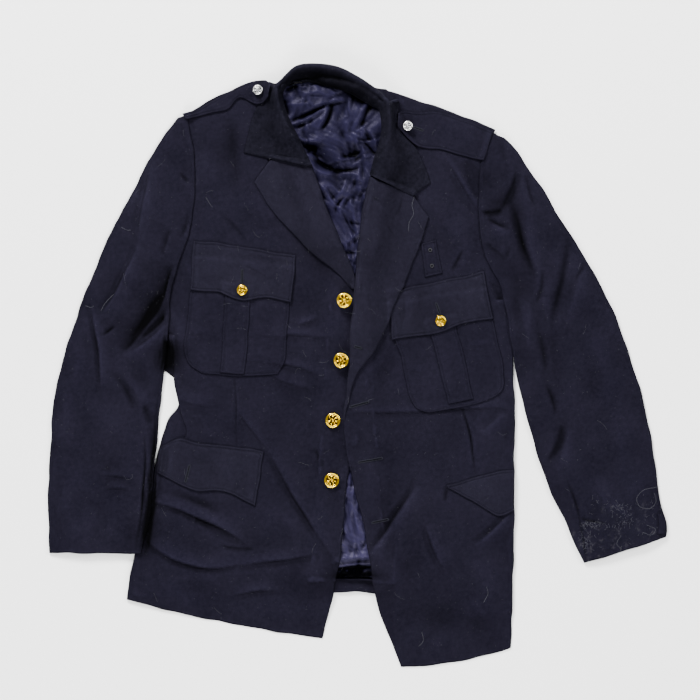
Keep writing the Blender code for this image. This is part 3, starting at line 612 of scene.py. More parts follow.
FRONT_RIGHT_FOLDS = [
    # The first two rows are deep troughs at the armpit and beside the sleeve, which the painted shading
    # turns dark: painted shade
    Fold(-262, 44, -264, -8, 0, 6, 6, -5.0),
    Fold(-277, -60, -292, -252, 3, 5, 3, -1.8),
    Fold(-123, -114, -29, -268, -4, 20, 4.5, 2.0),
    Fold(-127, -118, -36, -264, -4, 5, 9, -0.6),
    Fold(-169, -57, -127, -113, 0, 14, 4, 1.2),
    Fold(-288, -185, -160, -242, 4, 16, 3.5, 3.0),
    Fold(-236, -208, -164, -246, 3, 6, 14, -2.0),
    Fold(-292, -243, -165, -275, -18, 16, 3.5, 3.2),
    Fold(-172, -276, -56, -259, -2, 14, 4, 2.4),
    Fold(-262, -178, -190, -206, 3, 12, 8, -1.8),
    Fold(-190, -252, -146, -255, -1, 4, 6, -1.6),
    Fold(-176, -318, -108, -311, 2, 10, 4, 1.8),
    Fold(-250, -296, -190, -300, 3, 14, 8, 1.2),
    Fold(-62, -114, -47, -140, 1, 5, 8, -1.2),
    Fold(-100, -204, -84, -236, 0, 14, 8, 1.0),
    Fold(-184, 352, -172, 246, 6, 14, 14, -2.2),
    Fold(-208, 330, -216, 250, 3, 14, 14, 1.4),
    Fold(-190, 212, -152, 170, 2, 5, 10, -0.9),
    Fold(-150, 236, -120, 200, 2, 16, 10, 1.0),
    Fold(-146, 46, -38, 42, 2, 9, 4, 1.4),
    Fold(-86, 60, -56, 70, -1, 8, 4, 1.6),
    Fold(-156, 12, -50, -12, 6, 10, 4, 1.4),
    Fold(-128, -4, -60, -30, -4, 9, 5, 1.0),
    Fold(-171, -18, -169, -112, 0, 2.5, 4, -1.3),
    Fold(-238, 150, -224, 106, 0, 12, 7, 1.4),
    Fold(-262, 84, -244, 26, 4, 14, 8, 1.4),
    Fold(-252, -40, -200, -54, -3, 12, 6, 1.4),
    Fold(-244, -62, -218, -96, 3, 10, 8, -1.4),
    Fold(-90, 316, -112, 300, 0, 10, 8, -1.0),
]

FRONT_LEFT_FOLDS = [
    Fold(84, -165, 16, -264, 3, 18, 4, 2.8),
    Fold(80, -168, 14, -262, 3, 5, 9, -1.4),
    Fold(66, -214, 60, -330, -8, 16, 7, 1.3),
    Fold(97, -220, 124, -284, -3, 14, 4, 2.0),
    Fold(214, -206, 163, -251, 3, 12, 3.5, 2.8),
    Fold(126, -168, 122, -190, 0, 5, 7, -1.6),
    Fold(-12, -63, 90, -63, 1, 8, 3.5, 1.2),
    Fold(60, -63, 217, -56, 2, 8, 3.5, 1.2),
    Fold(206, -66, 172, -94, 2, 12, 5, 1.6),
    Fold(124, 293, 171, 216, 2, 4, 5, 1.8),
    Fold(150, 288, 171, 236, 4, 14, 16, -3.4),
    Fold(149, 163, 131, 133, 0, 9, 5, -1.8),
    Fold(158, 178, 140, 140, 0, 9, 12, 1.4),
    Fold(88, 110, 78, 52, 3, 10, 8, -1.8),
    Fold(146, -56, 164, -148, 3, 2.5, 4, -1.3),
    Fold(186, 120, 206, 68, 3, 12, 12, -2.0),
    Fold(66, -350, 150, -368, 3, 24, 24, -0.8),
    Fold(150, -330, 196, -360, 3, 18, 10, 1.4),
    Fold(60, -392, 96, -344, 0, 16, 12, 0.6),
    Fold(18, -22, 38, 20, 3, 16, 9, 1.0),
    Fold(126, 208, 140, 168, 3, 18, 12, 1.0),
    Fold(170, -270, 190, -330, 3, 18, 12, 1.2),
]

SLEEVE_RIGHT_FOLDS = [
    # The first two rows are deep troughs beside the body and at the armpit, which the painted shading turns
    # dark: painted shade
    Fold(-280, -50, -302, -264, 3, 3, 7, -2.6),
    Fold(-267, 44, -266, -8, 0, 8, 8, -5.0),
    Fold(-284, 283, -304, 171, -2, 14, 5, 2.0),
    Fold(-304, 171, -360, 64, 4, 14, 4, 2.4),
    Fold(-371, 83, -356, -34, 3, 12, 3, 2.6),
    Fold(-262, 116, -328, 20, 5, 5, 20, -4.2),
    Fold(-266, 74, -302, 40, 2, 4, 9, -3.4),
    Fold(-262, 142, -258, 96, 0, 10, 14, -2.4),
    Fold(-262, 60, -324, 12, 3, 14, 5, 3.0),
    Fold(-304, 150, -352, 56, 6, 8, 12, 1.4),
    Fold(-356, 42, -338, 57, 0, 7, 4, -1.6),
    Fold(-261, 191, -275, 153, 0, 4, 8, -1.7),
    Fold(-233, 212, -247, 178, 0, 4, 9, -2.0),
    Fold(-249, 270, -236, 257, 0, 6, 6, -1.2),
    Fold(-346, -4, -312, -60, 4, 12, 8, -1.6),
    Fold(-318, -20, -296, -56, 2, 12, 7, 1.6),
    Fold(-298, -54, -288, -80, 0, 9, 8, -2.6),
    Fold(-297, -96, -309, -256, 4, 2.5, 4, -1.4),
    Fold(-352, -138, -344, -150, 0, 6, 7, -0.8),
    Fold(-356, -150, -312, -156, 2, 10, 4, 1.2),
    Fold(-350, -168, -316, -172, 2, 10, 4, 0.9),
    Fold(-412, -30, -404, -90, 3, 14, 9, 1.2),
    Fold(-400, -150, -420, -214, 3, 14, 9, 1.0),
    Fold(-340, -184, -350, -244, 3, 16, 9, 1.0),
    Fold(-386, 30, -398, -40, 3, 16, 9, 1.2),
    Fold(-300, 20, -284, -40, 4, 14, 9, 1.4),
]

SLEEVE_LEFT_FOLDS = [
    Fold(221, 273, 201, 219, 4, 12, 6, -3.4),
    Fold(202, 219, 174, 214, 2, 8, 5.5, -3.0),
    Fold(206, 264, 188, 230, 3, 8, 12, 2.0),
    Fold(196, 318, 207, 284, 0, 9, 8, -1.6),
    Fold(180, 207, 212, 192, -1, 9, 5.5, -1.8),
    Fold(184, 198, 214, 184, -1, 5, 10, 1.6),
    Fold(177, 172, 207, 147, 1, 5, 10, -1.6),
    Fold(206, 148, 214, 168, 0, 7, 6, -0.8),
    Fold(216, 232, 250, 121, -4, 8, 11, -3.8),
    Fold(257, 136, 250, 87, 3, 8, 6, -1.8),
    Fold(234, 262, 262, 98, -6, 12, 9, 2.4),
    Fold(262, 98, 268, 40, 4, 12, 9, 2.0),
    Fold(235, 268, 248, 222, -2, 9, 6, -2.0),
    Fold(296, 180, 267, 48, 2, 10, 10, -3.2),
    Fold(316, 152, 292, 58, 4, 12, 7, 1.8),
    Fold(226, 100, 242, 20, 3, 11, 7, 1.6),
    Fold(252, 48, 262, -12, 3, 8, 8, -1.8),
    Fold(264, -26, 276, -68, 2, 9, 6, -1.8),
    Fold(286, -82, 267, -132, 3, 12, 5.5, -2.2),
    Fold(296, -84, 282, -140, 4, 12, 7, 2.0),
    Fold(293, -160, 318, -274, 5, 4, 2.5, -1.4),
    Fold(318, 146, 304, 120, 0, 8, 5, -1.4),
    Fold(330, 40, 352, -34, 4, 16, 10, 1.4),
    Fold(360, -80, 372, -150, 4, 16, 10, 1.2),
    Fold(334, -150, 352, -214, 4, 16, 9, 1.0),
    Fold(300, -212, 352, -222, 1, 6, 4, -0.9),
    Fold(352, -190, 380, -216, 3, 12, 7, 1.2),
]

COLLAR_FOLDS = [
    Fold(-100, 350, -120, 320, 3, 12, 8, 0.5),
    Fold(60, 300, 80, 272, 3, 12, 8, 0.4),
]

LAPEL_RIGHT_FOLDS = [
    Fold(-92, 262, -72, 240, 2, 14, 10, 0.8),
]

LAPEL_LEFT_FOLDS = [
    Fold(62, 236, 52, 208, 2, 8, 4, -0.5),
    Fold(18, 234, 34, 226, 1, 6, 4, -0.4),
    Fold(40, 196, 52, 178, 2, 8, 4, -0.3),
]

POCKET_FOLDS = [
    Fold(-236, 46, -196, 44, 2, 8, 5, 0.9),
    Fold(-150, 40, -112, 30, 2, 8, 5, 0.8),
    Fold(64, 0, 96, -10, 2, 8, 5, 0.9),
    Fold(150, 30, 196, 30, 2, 8, 5, 0.9),
]

FLAP_FOLDS = [
    Fold(-160, 145, -122, 125, 2, 9, 5, 1.0),
    Fold(-210, 160, -200, 120, 2, 12, 8, 0.6),
    Fold(70, 104, 66, 50, 2, 10, 6, 1.0),
    Fold(-262, -112, -264, -152, 2, 9, 5, 1.2),
    Fold(-212, -112, -168, -170, 4, 16, 10, 1.2),
    Fold(-150, -120, -148, -190, 2, 14, 9, 0.8),
    Fold(160, -160, 200, -196, 3, 12, 8, 1.0),
]

NO_FOLDS = []

# Where the cloth is in shade, as hollows that only darken it
SHADES = [
    Fold(-258, 140, -332, 20, 8, 11, 20, -6.0),
    Fold(-258, 96, -300, 52, 0, 12, 14, -4.0),
    Fold(-296, 176, -352, 70, 3, 12, 14, -1.5),
    Fold(-265, 38, -265, -12, 0, 12, 12, -16.0),
    Fold(-280, -60, -297, -266, 2, 7, 7, -8.0),
    Fold(-288, -170, -300, -268, 0, 10, 10, -7.0),
    Fold(-46, -293, 46, -291, 0, 6, 6, -7.0),
    Fold(-168, 352, -190, 256, 2, 16, 20, -2.2),
    Fold(-100, 196, -6, 96, -2, 12, 9, -2.2),
    Fold(-262, -172, -176, -196, -6, 10, 8, -1.6),
    Fold(210, 284, 196, 206, -3, 12, 16, -3.4),
    Fold(190, 226, 182, 176, 0, 8, 8, -2.0),
    Fold(222, 240, 246, 120, -4, 10, 14, -2.6),
    Fold(262, 116, 276, -70, 4, 12, 16, -2.4),
    Fold(216, 150, 228, 60, 2, 8, 8, -2.4),
    Fold(290, -80, 270, -136, 3, 10, 8, -2.0),
    Fold(90, 106, 66, 10, 0, 14, 8, -1.2),
    Fold(10, -60, 40, -260, 4, 14, 10, -1.0),
    Fold(56, -345, 152, -348, 0, 30, 30, -2.0),
    Fold(150, -350, 158, -384, 0, 20, 20, -1.2),
]

# Buttons and eyelets: middle and radius
SPOTS = [
    Spot("button_front_1", -18.6, 91.5, 11.4, "gold_button"),
    Spot("button_front_2", -23.0, 8.0, 11.4, "gold_button"),
    Spot("button_front_3", -34.3, -75.5, 11.4, "gold_button"),
    Spot("button_front_4", -36.0, -159.0, 11.4, "gold_button"),
    Spot("button_pocket_right", -161.0, 106.0, 8.0, "gold_button"),
    Spot("button_pocket_left", 116.0, 63.0, 8.0, "gold_button"),
    Spot("button_shoulder_right", -139.0, 385.0, 7.3, "silver_button"),
    Spot("button_shoulder_left", 70.0, 334.5, 7.3, "silver_button"),
]

EYELETS = [
    Spot("eyelet_upper", 101.5, 162.0, 2.6, "eyelet"),
    Spot("eyelet_lower", 104.0, 140.0, 2.6, "eyelet"),
]

# Buttonholes, from end to end
BUTTONHOLES = [
    Hole("hole_pocket_right", -161, 134, -161, 116),
    Hole("hole_pocket_left", 110, 87, 115, 73),
    Hole("hole_shoulder_left", 79, 333, 91, 329),
    Hole("hole_lower_flap", -234.5, -139, -240, -161),
    Hole("hole_front_2", -3.5, 27, 5, 25),
    Hole("hole_front_3", -10, -57, 15, -50),
    Hole("hole_front_4", 2, -134, 34, -128.5),
    Hole("hole_front_5", 21, -218, 42, -214),
]

# Pieces with stitching, and the edges that it follows
STITCHED = {
    "chest_flap_right": (LEFT, RIGHT, FIRST, LAST),
    "chest_flap_left": (LEFT, RIGHT, FIRST, LAST),
    "lower_flap_right": (LEFT, RIGHT, FIRST, LAST),
    "lower_flap_left": (LEFT, RIGHT),
    "chest_pocket_right": (LEFT, RIGHT, LAST),
    "chest_pocket_left": (LEFT, RIGHT, LAST),
    "pleat_right": (LEFT, RIGHT),
    "pleat_left": (LEFT, RIGHT),
    "epaulette_right": (LEFT, RIGHT),
    "epaulette_left": (LEFT, RIGHT),
    "badge_tab": (LEFT, RIGHT, FIRST, LAST),
}

# Longer threads that lie on the cloth, through points from end to end
STRAY_THREADS = [
    [(79, 236), (76, 224), (78, 212), (72, 200), (71, 188)],
    [(424, -168), (414, -170), (400, -173), (390, -184), (394, -196), (408, -199), (417, -190), (415, -178)],
    [(368, -236), (362, -248), (368, -256), (360, -264)],
    [(398, -232), (410, -236), (416, -228), (404, -222)],
    [(-358, 77), (-352, 88), (-340, 100)],
    [(-330, 194), (-322, 190), (-316, 190)],
    [(-212, 236), (-207, 228), (-203, 222)],
    [(-380, 84), (-372, 82), (-368, 84)],
    [(86, -392), (92, -384), (90, -372)],
    [(176, -330), (182, -318), (180, -308)],
]

LINT = [
    Drift("lint_hairs", 40, -430, 430, -400, 400, 6, 20, 0.3, 0.05),
    Drift("lint_specks", 360, -430, 430, -400, 400, 0.8, 2.6, 0.8, 0.055),
    Drift("lint_chest", 24, -240, 60, -60, 250, 5, 15, 0.5, 0.05),
    Drift("lint_cuff_edge", 60, 311, 327, -262, -219, 1.5, 6, 1.2, 0.06),
    Drift("lint_cuff_fold", 34, 310, 352, -225, -217, 1.5, 6, 1.0, 0.06),
    Drift("lint_cuff_patch", 60, 352, 384, -224, -193, 1.5, 6, 1.2, 0.055),
    Drift("lint_cuff", 40, 318, 425, -260, -185, 1.5, 7, 1.2, 0.05),
]


def through_rows(values, steps):
    """Read a smooth curve through the rows of a table, steps times between rows."""
    rows = np.array(values, dtype=float)
    padded = np.vstack([2 * rows[0] - rows[1], rows, 2 * rows[-1] - rows[-2]])
    pieces = []
    for index in range(len(rows) - 1):
        before, start, end, after = padded[index:index + 4]
        for step in range(steps):
            t = step / steps
            pieces.append(0.5 * (
                2 * start
                + (end - before) * t
                + (2 * before - 5 * start + 4 * end - after) * t ** 2
                + (3 * start - before - 3 * end + after) * t ** 3
            ))
    pieces.append(rows[-1])
    return np.array(pieces)


def edge_shares(length, spacing, extra=()):
    """Shares of a length: even lines, with closer ones at both ends."""
    count = max(3, round(length / spacing))
    near = np.array(EDGE_LINES) / length
    even = np.linspace(0, 1, count + 1)
    keep = even[(even > near[-1] * 1.4) & (even < 1 - near[-1] * 1.4)]
    shares = np.concatenate([near, keep, 1 - near[::-1]])
    for share in extra:
        if 0 < share < 1:
            shares[np.argmin(np.abs(shares - share))] = share
    return shares


def read_table(table, lengths, shares):
    """Read a dense table at shares of its length."""
    wanted = shares * lengths[-1]
    return np.column_stack([np.interp(wanted, lengths, column) for column in table.T])


def run_lengths(points):
    """Length along a line of points, up to each point."""
    return np.concatenate([[0], np.cumsum(np.linalg.norm(np.diff(points, axis=0), axis=1))])


def section_grid(rows, spacing, cap=()):
    """Plan (rows, across, 2) and loft of a piece, from its sections and its cap."""
    dense = through_rows(rows, SECTION_STEPS)
    lengths = run_lengths((dense[:, 0:2] + dense[:, 2:4]) / 2)
    widths = np.linalg.norm(dense[:, 2:4] - dense[:, 0:2], axis=1)
    v = edge_shares(lengths[-1], spacing)
    u = edge_shares(widths.max(), spacing, [point.share for point in cap])
    table = read_table(dense, lengths, v)
    share = u[None, :, None]
    left = table[:, None, 0:2]
    right = table[:, None, 2:4]
    span = right - left
    outwards = np.concatenate([-span[..., 1:2], span[..., 0:1]], axis=2)
    outwards = outwards / np.linalg.norm(outwards, axis=2, keepdims=True)
    first_way = np.array(rows[0][0:2]) - np.array(rows[-1][0:2])
    if float(outwards[0, 0] @ first_way) < 0:
        outwards = -outwards
    bow = table[:, None, 4:5] * 4 * share * (1 - share)
    plan = left + span * share + outwards * bow
    if cap:
        height = np.interp(u, [p.share for p in cap], [p.offset for p in cap])
        fade = np.clip(1 - v * lengths[-1] / CAP_FADE, 0, 1) ** 2
        plan = plan + outwards * (fade[:, None] * height[None, :])[..., None]
    loft = table[:, 5:6] * (1 - np.abs(2 * u[None, :] - 1) ** 3)
    return waver(plan), loft


def waver(plan):
    """A slight unevenness that moves all the pieces alike, so that none part."""
    x = plan[..., 0]
    y = plan[..., 1]
    return plan + WAVER * np.stack([
        np.sin(y / 9.1 + 0.7 * np.sin(x / 23)) + 0.8 * np.sin(y / 21 + 1.1) + 0.5 * np.sin((x + y) / 5.3),
        np.sin(x / 8.3 + 0.6 * np.sin(y / 27)) + 0.8 * np.sin(x / 24 + 2.3) + 0.5 * np.sin((x - y) / 6.1),
    ], axis=-1)


def edge_distance(grid):
    """Distances from each point of a grid to its left, right, first and last edges."""
    across = np.linalg.norm(np.diff(grid, axis=1), axis=2)
    along = np.linalg.norm(np.diff(grid, axis=0), axis=2)
    from_left = np.pad(np.cumsum(across, axis=1), ((0, 0), (1, 0)))
    from_top = np.pad(np.cumsum(along, axis=0), ((1, 0), (0, 0)))
    to_right = from_left[:, -1:] - from_left
    to_bottom = from_top[-1:] - from_top
    return from_left, to_right, from_top, to_bottom


def fold_relief(plan, folds, sharp=False):
    """Height that the folds add at each plan position; sharp ones have a keen crest."""
    relief = np.zeros(plan.shape[:2])
    for number, fold in enumerate(folds):
        start = np.array([fold.from_x, fold.from_y], dtype=float)
        end = np.array([fold.to_x, fold.to_y], dtype=float)
        length = np.linalg.norm(end - start)
        forward = (end - start) / length
        sideways = np.array([-forward[1], forward[0]])
        offset = plan - start
        along = np.clip(offset @ forward / length, 0, 1)
        spine = fold.bend * 4 * along * (1 - along)
        wiggle = WIGGLE * np.sin(offset @ forward / WIGGLE_LENGTH + 2.1 * number)
        off_line = offset @ sideways - spine - wiggle
        past_end = offset @ forward - along * length
        narrowed = 1.0 if fold.height > 0 or sharp else TROUGH_SHARE
        side = np.where(off_line > 0, fold.width, fold.steep) * narrowed
        distance = np.hypot(off_line / side, past_end / fold.width)
        foot_line = (off_line + 2.1 * fold.steep) / (0.9 * fold.steep)
        foot = np.exp(-foot_line ** 2 - (past_end / fold.width) ** 2)
        taper = 0.12 + 0.88 * np.sin(math.pi * along) ** 0.8
        profile = np.exp(-distance ** 1.15) if sharp else np.exp(-distance ** 2)
        crest = profile - FOOT_SHARE * (fold.height > 0) * foot
        if sharp:
            relief += SHARP_GAIN * fold.height * taper * crest
            continue
        line_at = -0.9 * fold.steep if fold.height > 0 else 0.0
        line = np.exp(-((off_line - line_at) / LINE_WIDTH) ** 2 - (past_end / fold.width) ** 2)
        relief += FOLD_GAIN * fold.height * taper * crest
        relief -= LINE_DEPTH * line_keenness(fold) * math.sqrt(abs(fold.height)) * taper ** 1.5 * line
    return relief


def line_keenness(fold):
    """How strong the line beside a fold is: full at a steep side, faint at a gentle one."""
    return min(max((8.0 - fold.steep) / 4.5, 0.12), 1.0)


def crumple(plan):
    """Flat facets with keen edges, as thin satin crushes into."""
    rng = np.random.default_rng(SEED + 4)
    warped = plan + 7 * np.stack([
        np.sin(plan[..., 1] / 17 + 1.3) + np.sin(plan[..., 0] / 11 + 0.4),
        np.sin(plan[..., 0] / 15 + 2.1) + np.sin(plan[..., 1] / 13 + 0.9),
    ], axis=-1)
    height = np.zeros(plan.shape[:2])
    for wavelength, strength in CRUMPLE:
        angle = rng.uniform(0, math.pi)
        phase = rng.uniform(0, 2)
        way = np.array([math.cos(angle), math.sin(angle)]) / wavelength
        ramp_up = np.abs(np.mod(warped @ way + phase, 2) - 1)
        height += strength * np.abs(ramp_up - 0.5) * 2
    return height


def random_creases(rng, count, box, lengths, heights):
    """Short creases scattered over a box (low x, high x, low y, high y)."""
    creases = []
    for _ in range(count):
        x = rng.uniform(box[0], box[1])
        y = rng.uniform(box[2], box[3])
        angle = rng.uniform(0, 2 * math.pi)
        length = rng.uniform(*lengths)
        creases.append(Fold(
            x, y, x + length * math.cos(angle), y + length * math.sin(angle),
            rng.uniform(-0.15, 0.15) * length, rng.uniform(3.0, 6.5), rng.uniform(1.3, 2.2),
            rng.uniform(*heights),
        ))
    return creases


def soft_waves(plan, rng, count, size, height):
    """Low, broad unevenness, as pressed cloth has."""
    waves = np.zeros(plan.shape[:2])
    for _ in range(count):
        angle = rng.uniform(0, math.pi)
        wavelength = size * rng.uniform(0.6, 1.6)
        way = np.array([math.cos(angle), math.sin(angle)]) * 2 * math.pi / wavelength
        bend = rng.uniform(0, 2 * math.pi)
        waves += np.sin(plan @ way + bend + 0.6 * np.sin(plan @ way[::-1] * 0.7 + bend))
    return waves * height / count


class HeightField:
    """The top of everything laid so far, on a square grid of cells."""

    def __init__(self):
        count = int(2 * FIELD_HALF / FIELD_CELL) + 1
        self.top = np.zeros((count, count))

    def index(self, positions):
        """Cell numbers of plan positions."""
        cells = np.rint((positions + FIELD_HALF) / FIELD_CELL).astype(int)
        return np.clip(cells, 3, len(self.top) - 4)

    def read(self, positions, reach=1):
        """Highest top within reach cells of each plan position."""
        cells = self.index(positions)
        highest = np.zeros(positions.shape[:-1])
        for dx in range(-reach, reach + 1):
            for dy in range(-reach, reach + 1):
                highest = np.maximum(highest, self.top[cells[..., 0] + dx, cells[..., 1] + dy])
        return highest

    def lay(self, points):
        """Raise the field to a grid of points (rows, across, 3)."""
        for weights in quad_weights(points[..., 0:2]):
            sample = blend_corners(points, weights)
            cells = self.index(sample[..., 0:2]).reshape(-1, 2)
            np.maximum.at(self.top, (cells[:, 0], cells[:, 1]), sample[..., 2].reshape(-1))


def quad_weights(plan):
    """Corner weights that cover each quad of a grid, split along one diagonal."""
    longest = max(
        np.linalg.norm(np.diff(plan, axis=0), axis=2).max(),
        np.linalg.norm(np.diff(plan, axis=1), axis=2).max(),
    )
    count = int(math.ceil(longest / FIELD_CELL)) + 1
    for s in np.linspace(0, 1, count + 1):
        for t in np.linspace(0, 1, count + 1):
            if s + t <= 1:
                yield (1 - s - t, s, t, 0)
            else:
                yield (0, 1 - t, 1 - s, s + t - 1)


def blend_corners(grid, weights):
    """Weighted sum of each quad's four corners."""
    near, next_row, next_column, far = weights
    return (
        near * grid[:-1, :-1]
        + next_row * grid[1:, :-1]
        + next_column * grid[:-1, 1:]
        + far * grid[1:, 1:]
    )


def soften(heights, passes):
    """Average each height with its neighbours."""
    for _ in range(passes):
        padded = np.pad(heights, 1, mode="edge")
        around = padded[:-2, 1:-1] + padded[2:, 1:-1] + padded[1:-1, :-2] + padded[1:-1, 2:]
        heights = 0.5 * heights + 0.5 * around / 4
    return heights


def lowest_near(heights):
    """The lowest of each height and its neighbours."""
    padded = np.pad(heights, 1, mode="edge")
    rows, across = heights.shape
    return np.min([padded[i:i + rows, j:j + across] for i in range(3) for j in range(3)], axis=0)


def drape(below, passes):
    """A soft surface that rests on the heights below without following every step."""
    heights = soften(below, passes)
    for _ in range(4):
        short = np.maximum(below - heights, 0)
        heights = heights + 1.3 * soften(short, passes // 4)
    return heights


def clear_of_field(plan, heights, field, clearance, active=None):
    """Raise heights until the whole surface is clear of what lies below it."""
    corners = (
        (slice(None, -1), slice(None, -1)),
        (slice(1, None), slice(None, -1)),
        (slice(None, -1), slice(1, None)),
        (slice(1, None), slice(1, None)),
    )
    clearance = clearance + np.zeros_like(heights)
    for _ in range(8):
        lift = np.zeros_like(heights)
        for weights in quad_weights(plan):
            below = field.read(blend_corners(plan, weights))
            least = np.where(below > 0, below + blend_corners(clearance, weights), 0)
            short = least - blend_corners(heights, weights)
            if active is not None:
                short = np.where(active, short, 0)
            short = np.maximum(short, 0)
            scale = sum(weight ** 2 for weight in weights)
            for corner, weight in zip(corners, weights):
                lift[corner] = np.maximum(lift[corner], short * weight / scale)
        if lift.max() < CLOSE_ENOUGH:
            break
        heights = heights + lift
    return heights


def object_from(name, points, quads, material, node):
    """A mesh object in metres that replaces one CAD node."""
    mesh = bpy.data.meshes.new(name)
    mesh.from_pydata((points * MM).tolist(), [], quads)
    mesh.materials.append(material)
    mesh.shade_smooth()
    item = bpy.data.objects.new(name, mesh)
    bpy.context.scene.collection.objects.link(item)
    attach(item, "root")
    if node:
        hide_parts(node)
    return item


def grid_quads(rows, across, first=0, flip=False):
    """Quads of a grid of points, numbered row by row."""
    i, j = np.meshgrid(np.arange(rows - 1), np.arange(across - 1), indexing="ij")
    a = first + i * across + j
    quads = np.stack([a, a + across, a + across + 1, a + 1], axis=-1).reshape(-1, 4)
    return quads[:, ::-1] if flip else quads


def grid_rim(rows, across):
    """Numbers of the points round the rim of a grid, in order."""
    rim = list(range(across))
    rim += [i * across + across - 1 for i in range(1, rows)]
    rim += [(rows - 1) * across + j for j in range(across - 2, -1, -1)]
    rim += [i * across for i in range(rows - 2, 0, -1)]
    return rim


def coarse_stops(count, skip):
    """Every skip-th number below count, with the last one."""
    return sorted(set(range(0, count, skip)) | {count - 1})


def coarse_faces(rows, across, skip):
    """Faces of the plainer underside of a grid, which keep every point of its rim."""
    faces = []
    row_stops = coarse_stops(rows, skip)
    column_stops = coarse_stops(across, skip)
    for top, bottom in zip(row_stops, row_stops[1:]):
        for left, right in zip(column_stops, column_stops[1:]):
            down = range(top, bottom) if left == 0 else [top]
            along = range(left, right) if bottom == rows - 1 else [left]
            up = range(bottom, top, -1) if right == across - 1 else [bottom]
            back = range(right, left, -1) if top == 0 else [right]
            face = [i * across + left for i in down] + [bottom * across + j for j in along]
            face += [i * across + right for i in up] + [top * across + j for j in back]
            faces.append(face)
    return faces


def wall_piece(name, lower, upper, material, node, skip=2):
    """A closed thin wall between two grids of points, and which lower points it keeps."""
    rows, across = lower.shape[:2]
    keep = np.zeros((rows, across), dtype=bool)
    keep[np.ix_(coarse_stops(rows, skip), coarse_stops(across, skip))] = True
    rim = grid_rim(rows, across)
    keep = keep.reshape(-1)
    keep[rim] = True
    number = np.cumsum(keep) - 1
    offset = int(keep.sum())
    points = np.concatenate([lower.reshape(-1, 3)[keep], upper.reshape(-1, 3)])
    mid = (rows // 2, across // 2)
    step_row = upper[mid[0] + 1, mid[1]] - upper[mid]
    step_across = upper[mid[0], mid[1] + 1] - upper[mid]
    top_faces_up = np.cross(step_row, step_across)[2] > 0
    faces = grid_quads(rows, across, offset, flip=not top_faces_up).tolist()
    turn = -1 if top_faces_up else 1
    faces += [number[face].tolist()[::turn] for face in coarse_faces(rows, across, skip)]
    for a, b in zip(rim, rim[1:] + rim[:1]):
        faces.append([int(number[a]), int(number[b]), offset + b, offset + a][::-turn])
    return object_from(name, points, faces, material, node), keep


def mark_painted_shading(piece, grid, keep, relief=0.0, scale=0.16, share=0.055, rim=0.15):
    """Keep on each point the painted shade and highlight of its colour: darker where it lies below its
    surroundings, lighter where it stands out, with the painted shade of SHADES and of its edges.
    """
    plan = grid[..., 0:2]
    heights = grid[..., 2]
    near = heights - soften(heights, 5)
    wide = heights - soften(heights, 36)
    detail = 0.5 + 1.6 * scale * near + 0.5 * scale * wide + share * relief
    # Painted shade in the SHADES hollows and along every edge of the piece
    detail += SHADE_SHARE * fold_relief(plan, SHADES, True)
    detail -= rim * np.exp(-(np.minimum.reduce(edge_distance(plan)) / EDGE_SHADE_WIDTH) ** 2)
    detail = np.clip(detail, 0, 1).reshape(-1)
    keep_values(piece, "crease", np.concatenate([detail[keep], detail]))


def keep_values(piece, name, values):
    """Keep one value on each point of a piece, for its material to read."""
    attribute = piece.data.attributes.new(name, "FLOAT", "POINT")
    attribute.data.foreach_set("value", values)


def rounded_wall(grid, wall):
    """Wall height at each point: full inside, thinner at the turned edges."""
    nearest = np.minimum.reduce(edge_distance(grid))
    turn = np.clip(1 - nearest / wall, 0, 1)
    return wall * (0.3 + 0.7 * np.sqrt(1 - turn ** 2))


def roll_lift(sides, side, height, radius, reach):
    """Lift beside a rolled edge: up round the roll, then down slowly."""
    distance = sides[side]
    up = np.sqrt(np.clip(1 - np.clip(1 - distance / radius, 0, 1) ** 2, 0, 1))
    down = 1 / (1 + (distance / reach) ** 3)
    return height * up * down


def lay_piece(name, node, rows, wall, spacing, folds, field, material, slot, rests_on, *, cap=(),
              inset=0.0, reach=2, soft=40, sharp=False, waves=None, base=0.0, ending=100.0, rolls=(),
              stitched=(), marks=None):
    """Lay a piece of cloth on what is already there, and return its upper surface.

    inset draws both sides in, reach and soft say how it drapes, and base lifts it.
    Its rolled edges, rolls, fade out over the last 1/ending of its length, and its
    wall grows thinner there. stitched names its stitched edges, and marks is passed
    on to the function that paints shade and highlight into its colour.
    """
    plan, loft = section_grid(rows, spacing, cap)
    if inset:
        span = plan[:, -1:] - plan[:, :1]
        inward = span / np.linalg.norm(span, axis=2, keepdims=True)
        plan = plan + inward * np.linspace(1, -1, plan.shape[1])[None, :, None] * inset
    heights = drape(field.read(plan, reach), soft)
    relief = fold_relief(plan, folds, sharp)
    if waves is not None:
        relief = relief + waves(plan)
    heights = heights + loft + relief + base
    fading = np.clip(np.linspace(ending, 0, len(plan)), 0, 1)[:, None]
    sides = edge_distance(plan)
    for side, height, radius, roll_reach in rolls:
        heights = heights + fading * roll_lift(sides, side, height, radius, roll_reach)
    heights = clear_of_field(plan, np.maximum(heights, 0), field, SEAM_GAP)
    lower = np.concatenate([plan, heights[..., None]], axis=2)
    upper = lower.copy()
    upper[..., 2] += rounded_wall(plan, wall) * (END_WALL_SHARE + (1 - END_WALL_SHARE) * fading)
    for side in stitched:
        groove = np.exp(-((sides[side] - STITCH_INSET) / GROOVE_WIDTH) ** 2)
        inside = np.minimum.reduce(sides) > STITCH_INSET - GROOVE_WIDTH
        upper[..., 2] -= GROOVE_DEPTH * groove * inside
    field.lay(upper)
    if sharp:
        lower[..., 2] = lowest_near(lower[..., 2])
    piece, keep = wall_piece(name, lower, upper, material, node)
    # Painted shade and highlight in the colour, from the piece's relief
    mark_painted_shading(piece, upper, keep, relief - 0.5 * soften(relief, 400), **(marks or {}))
    return upper


# Materials


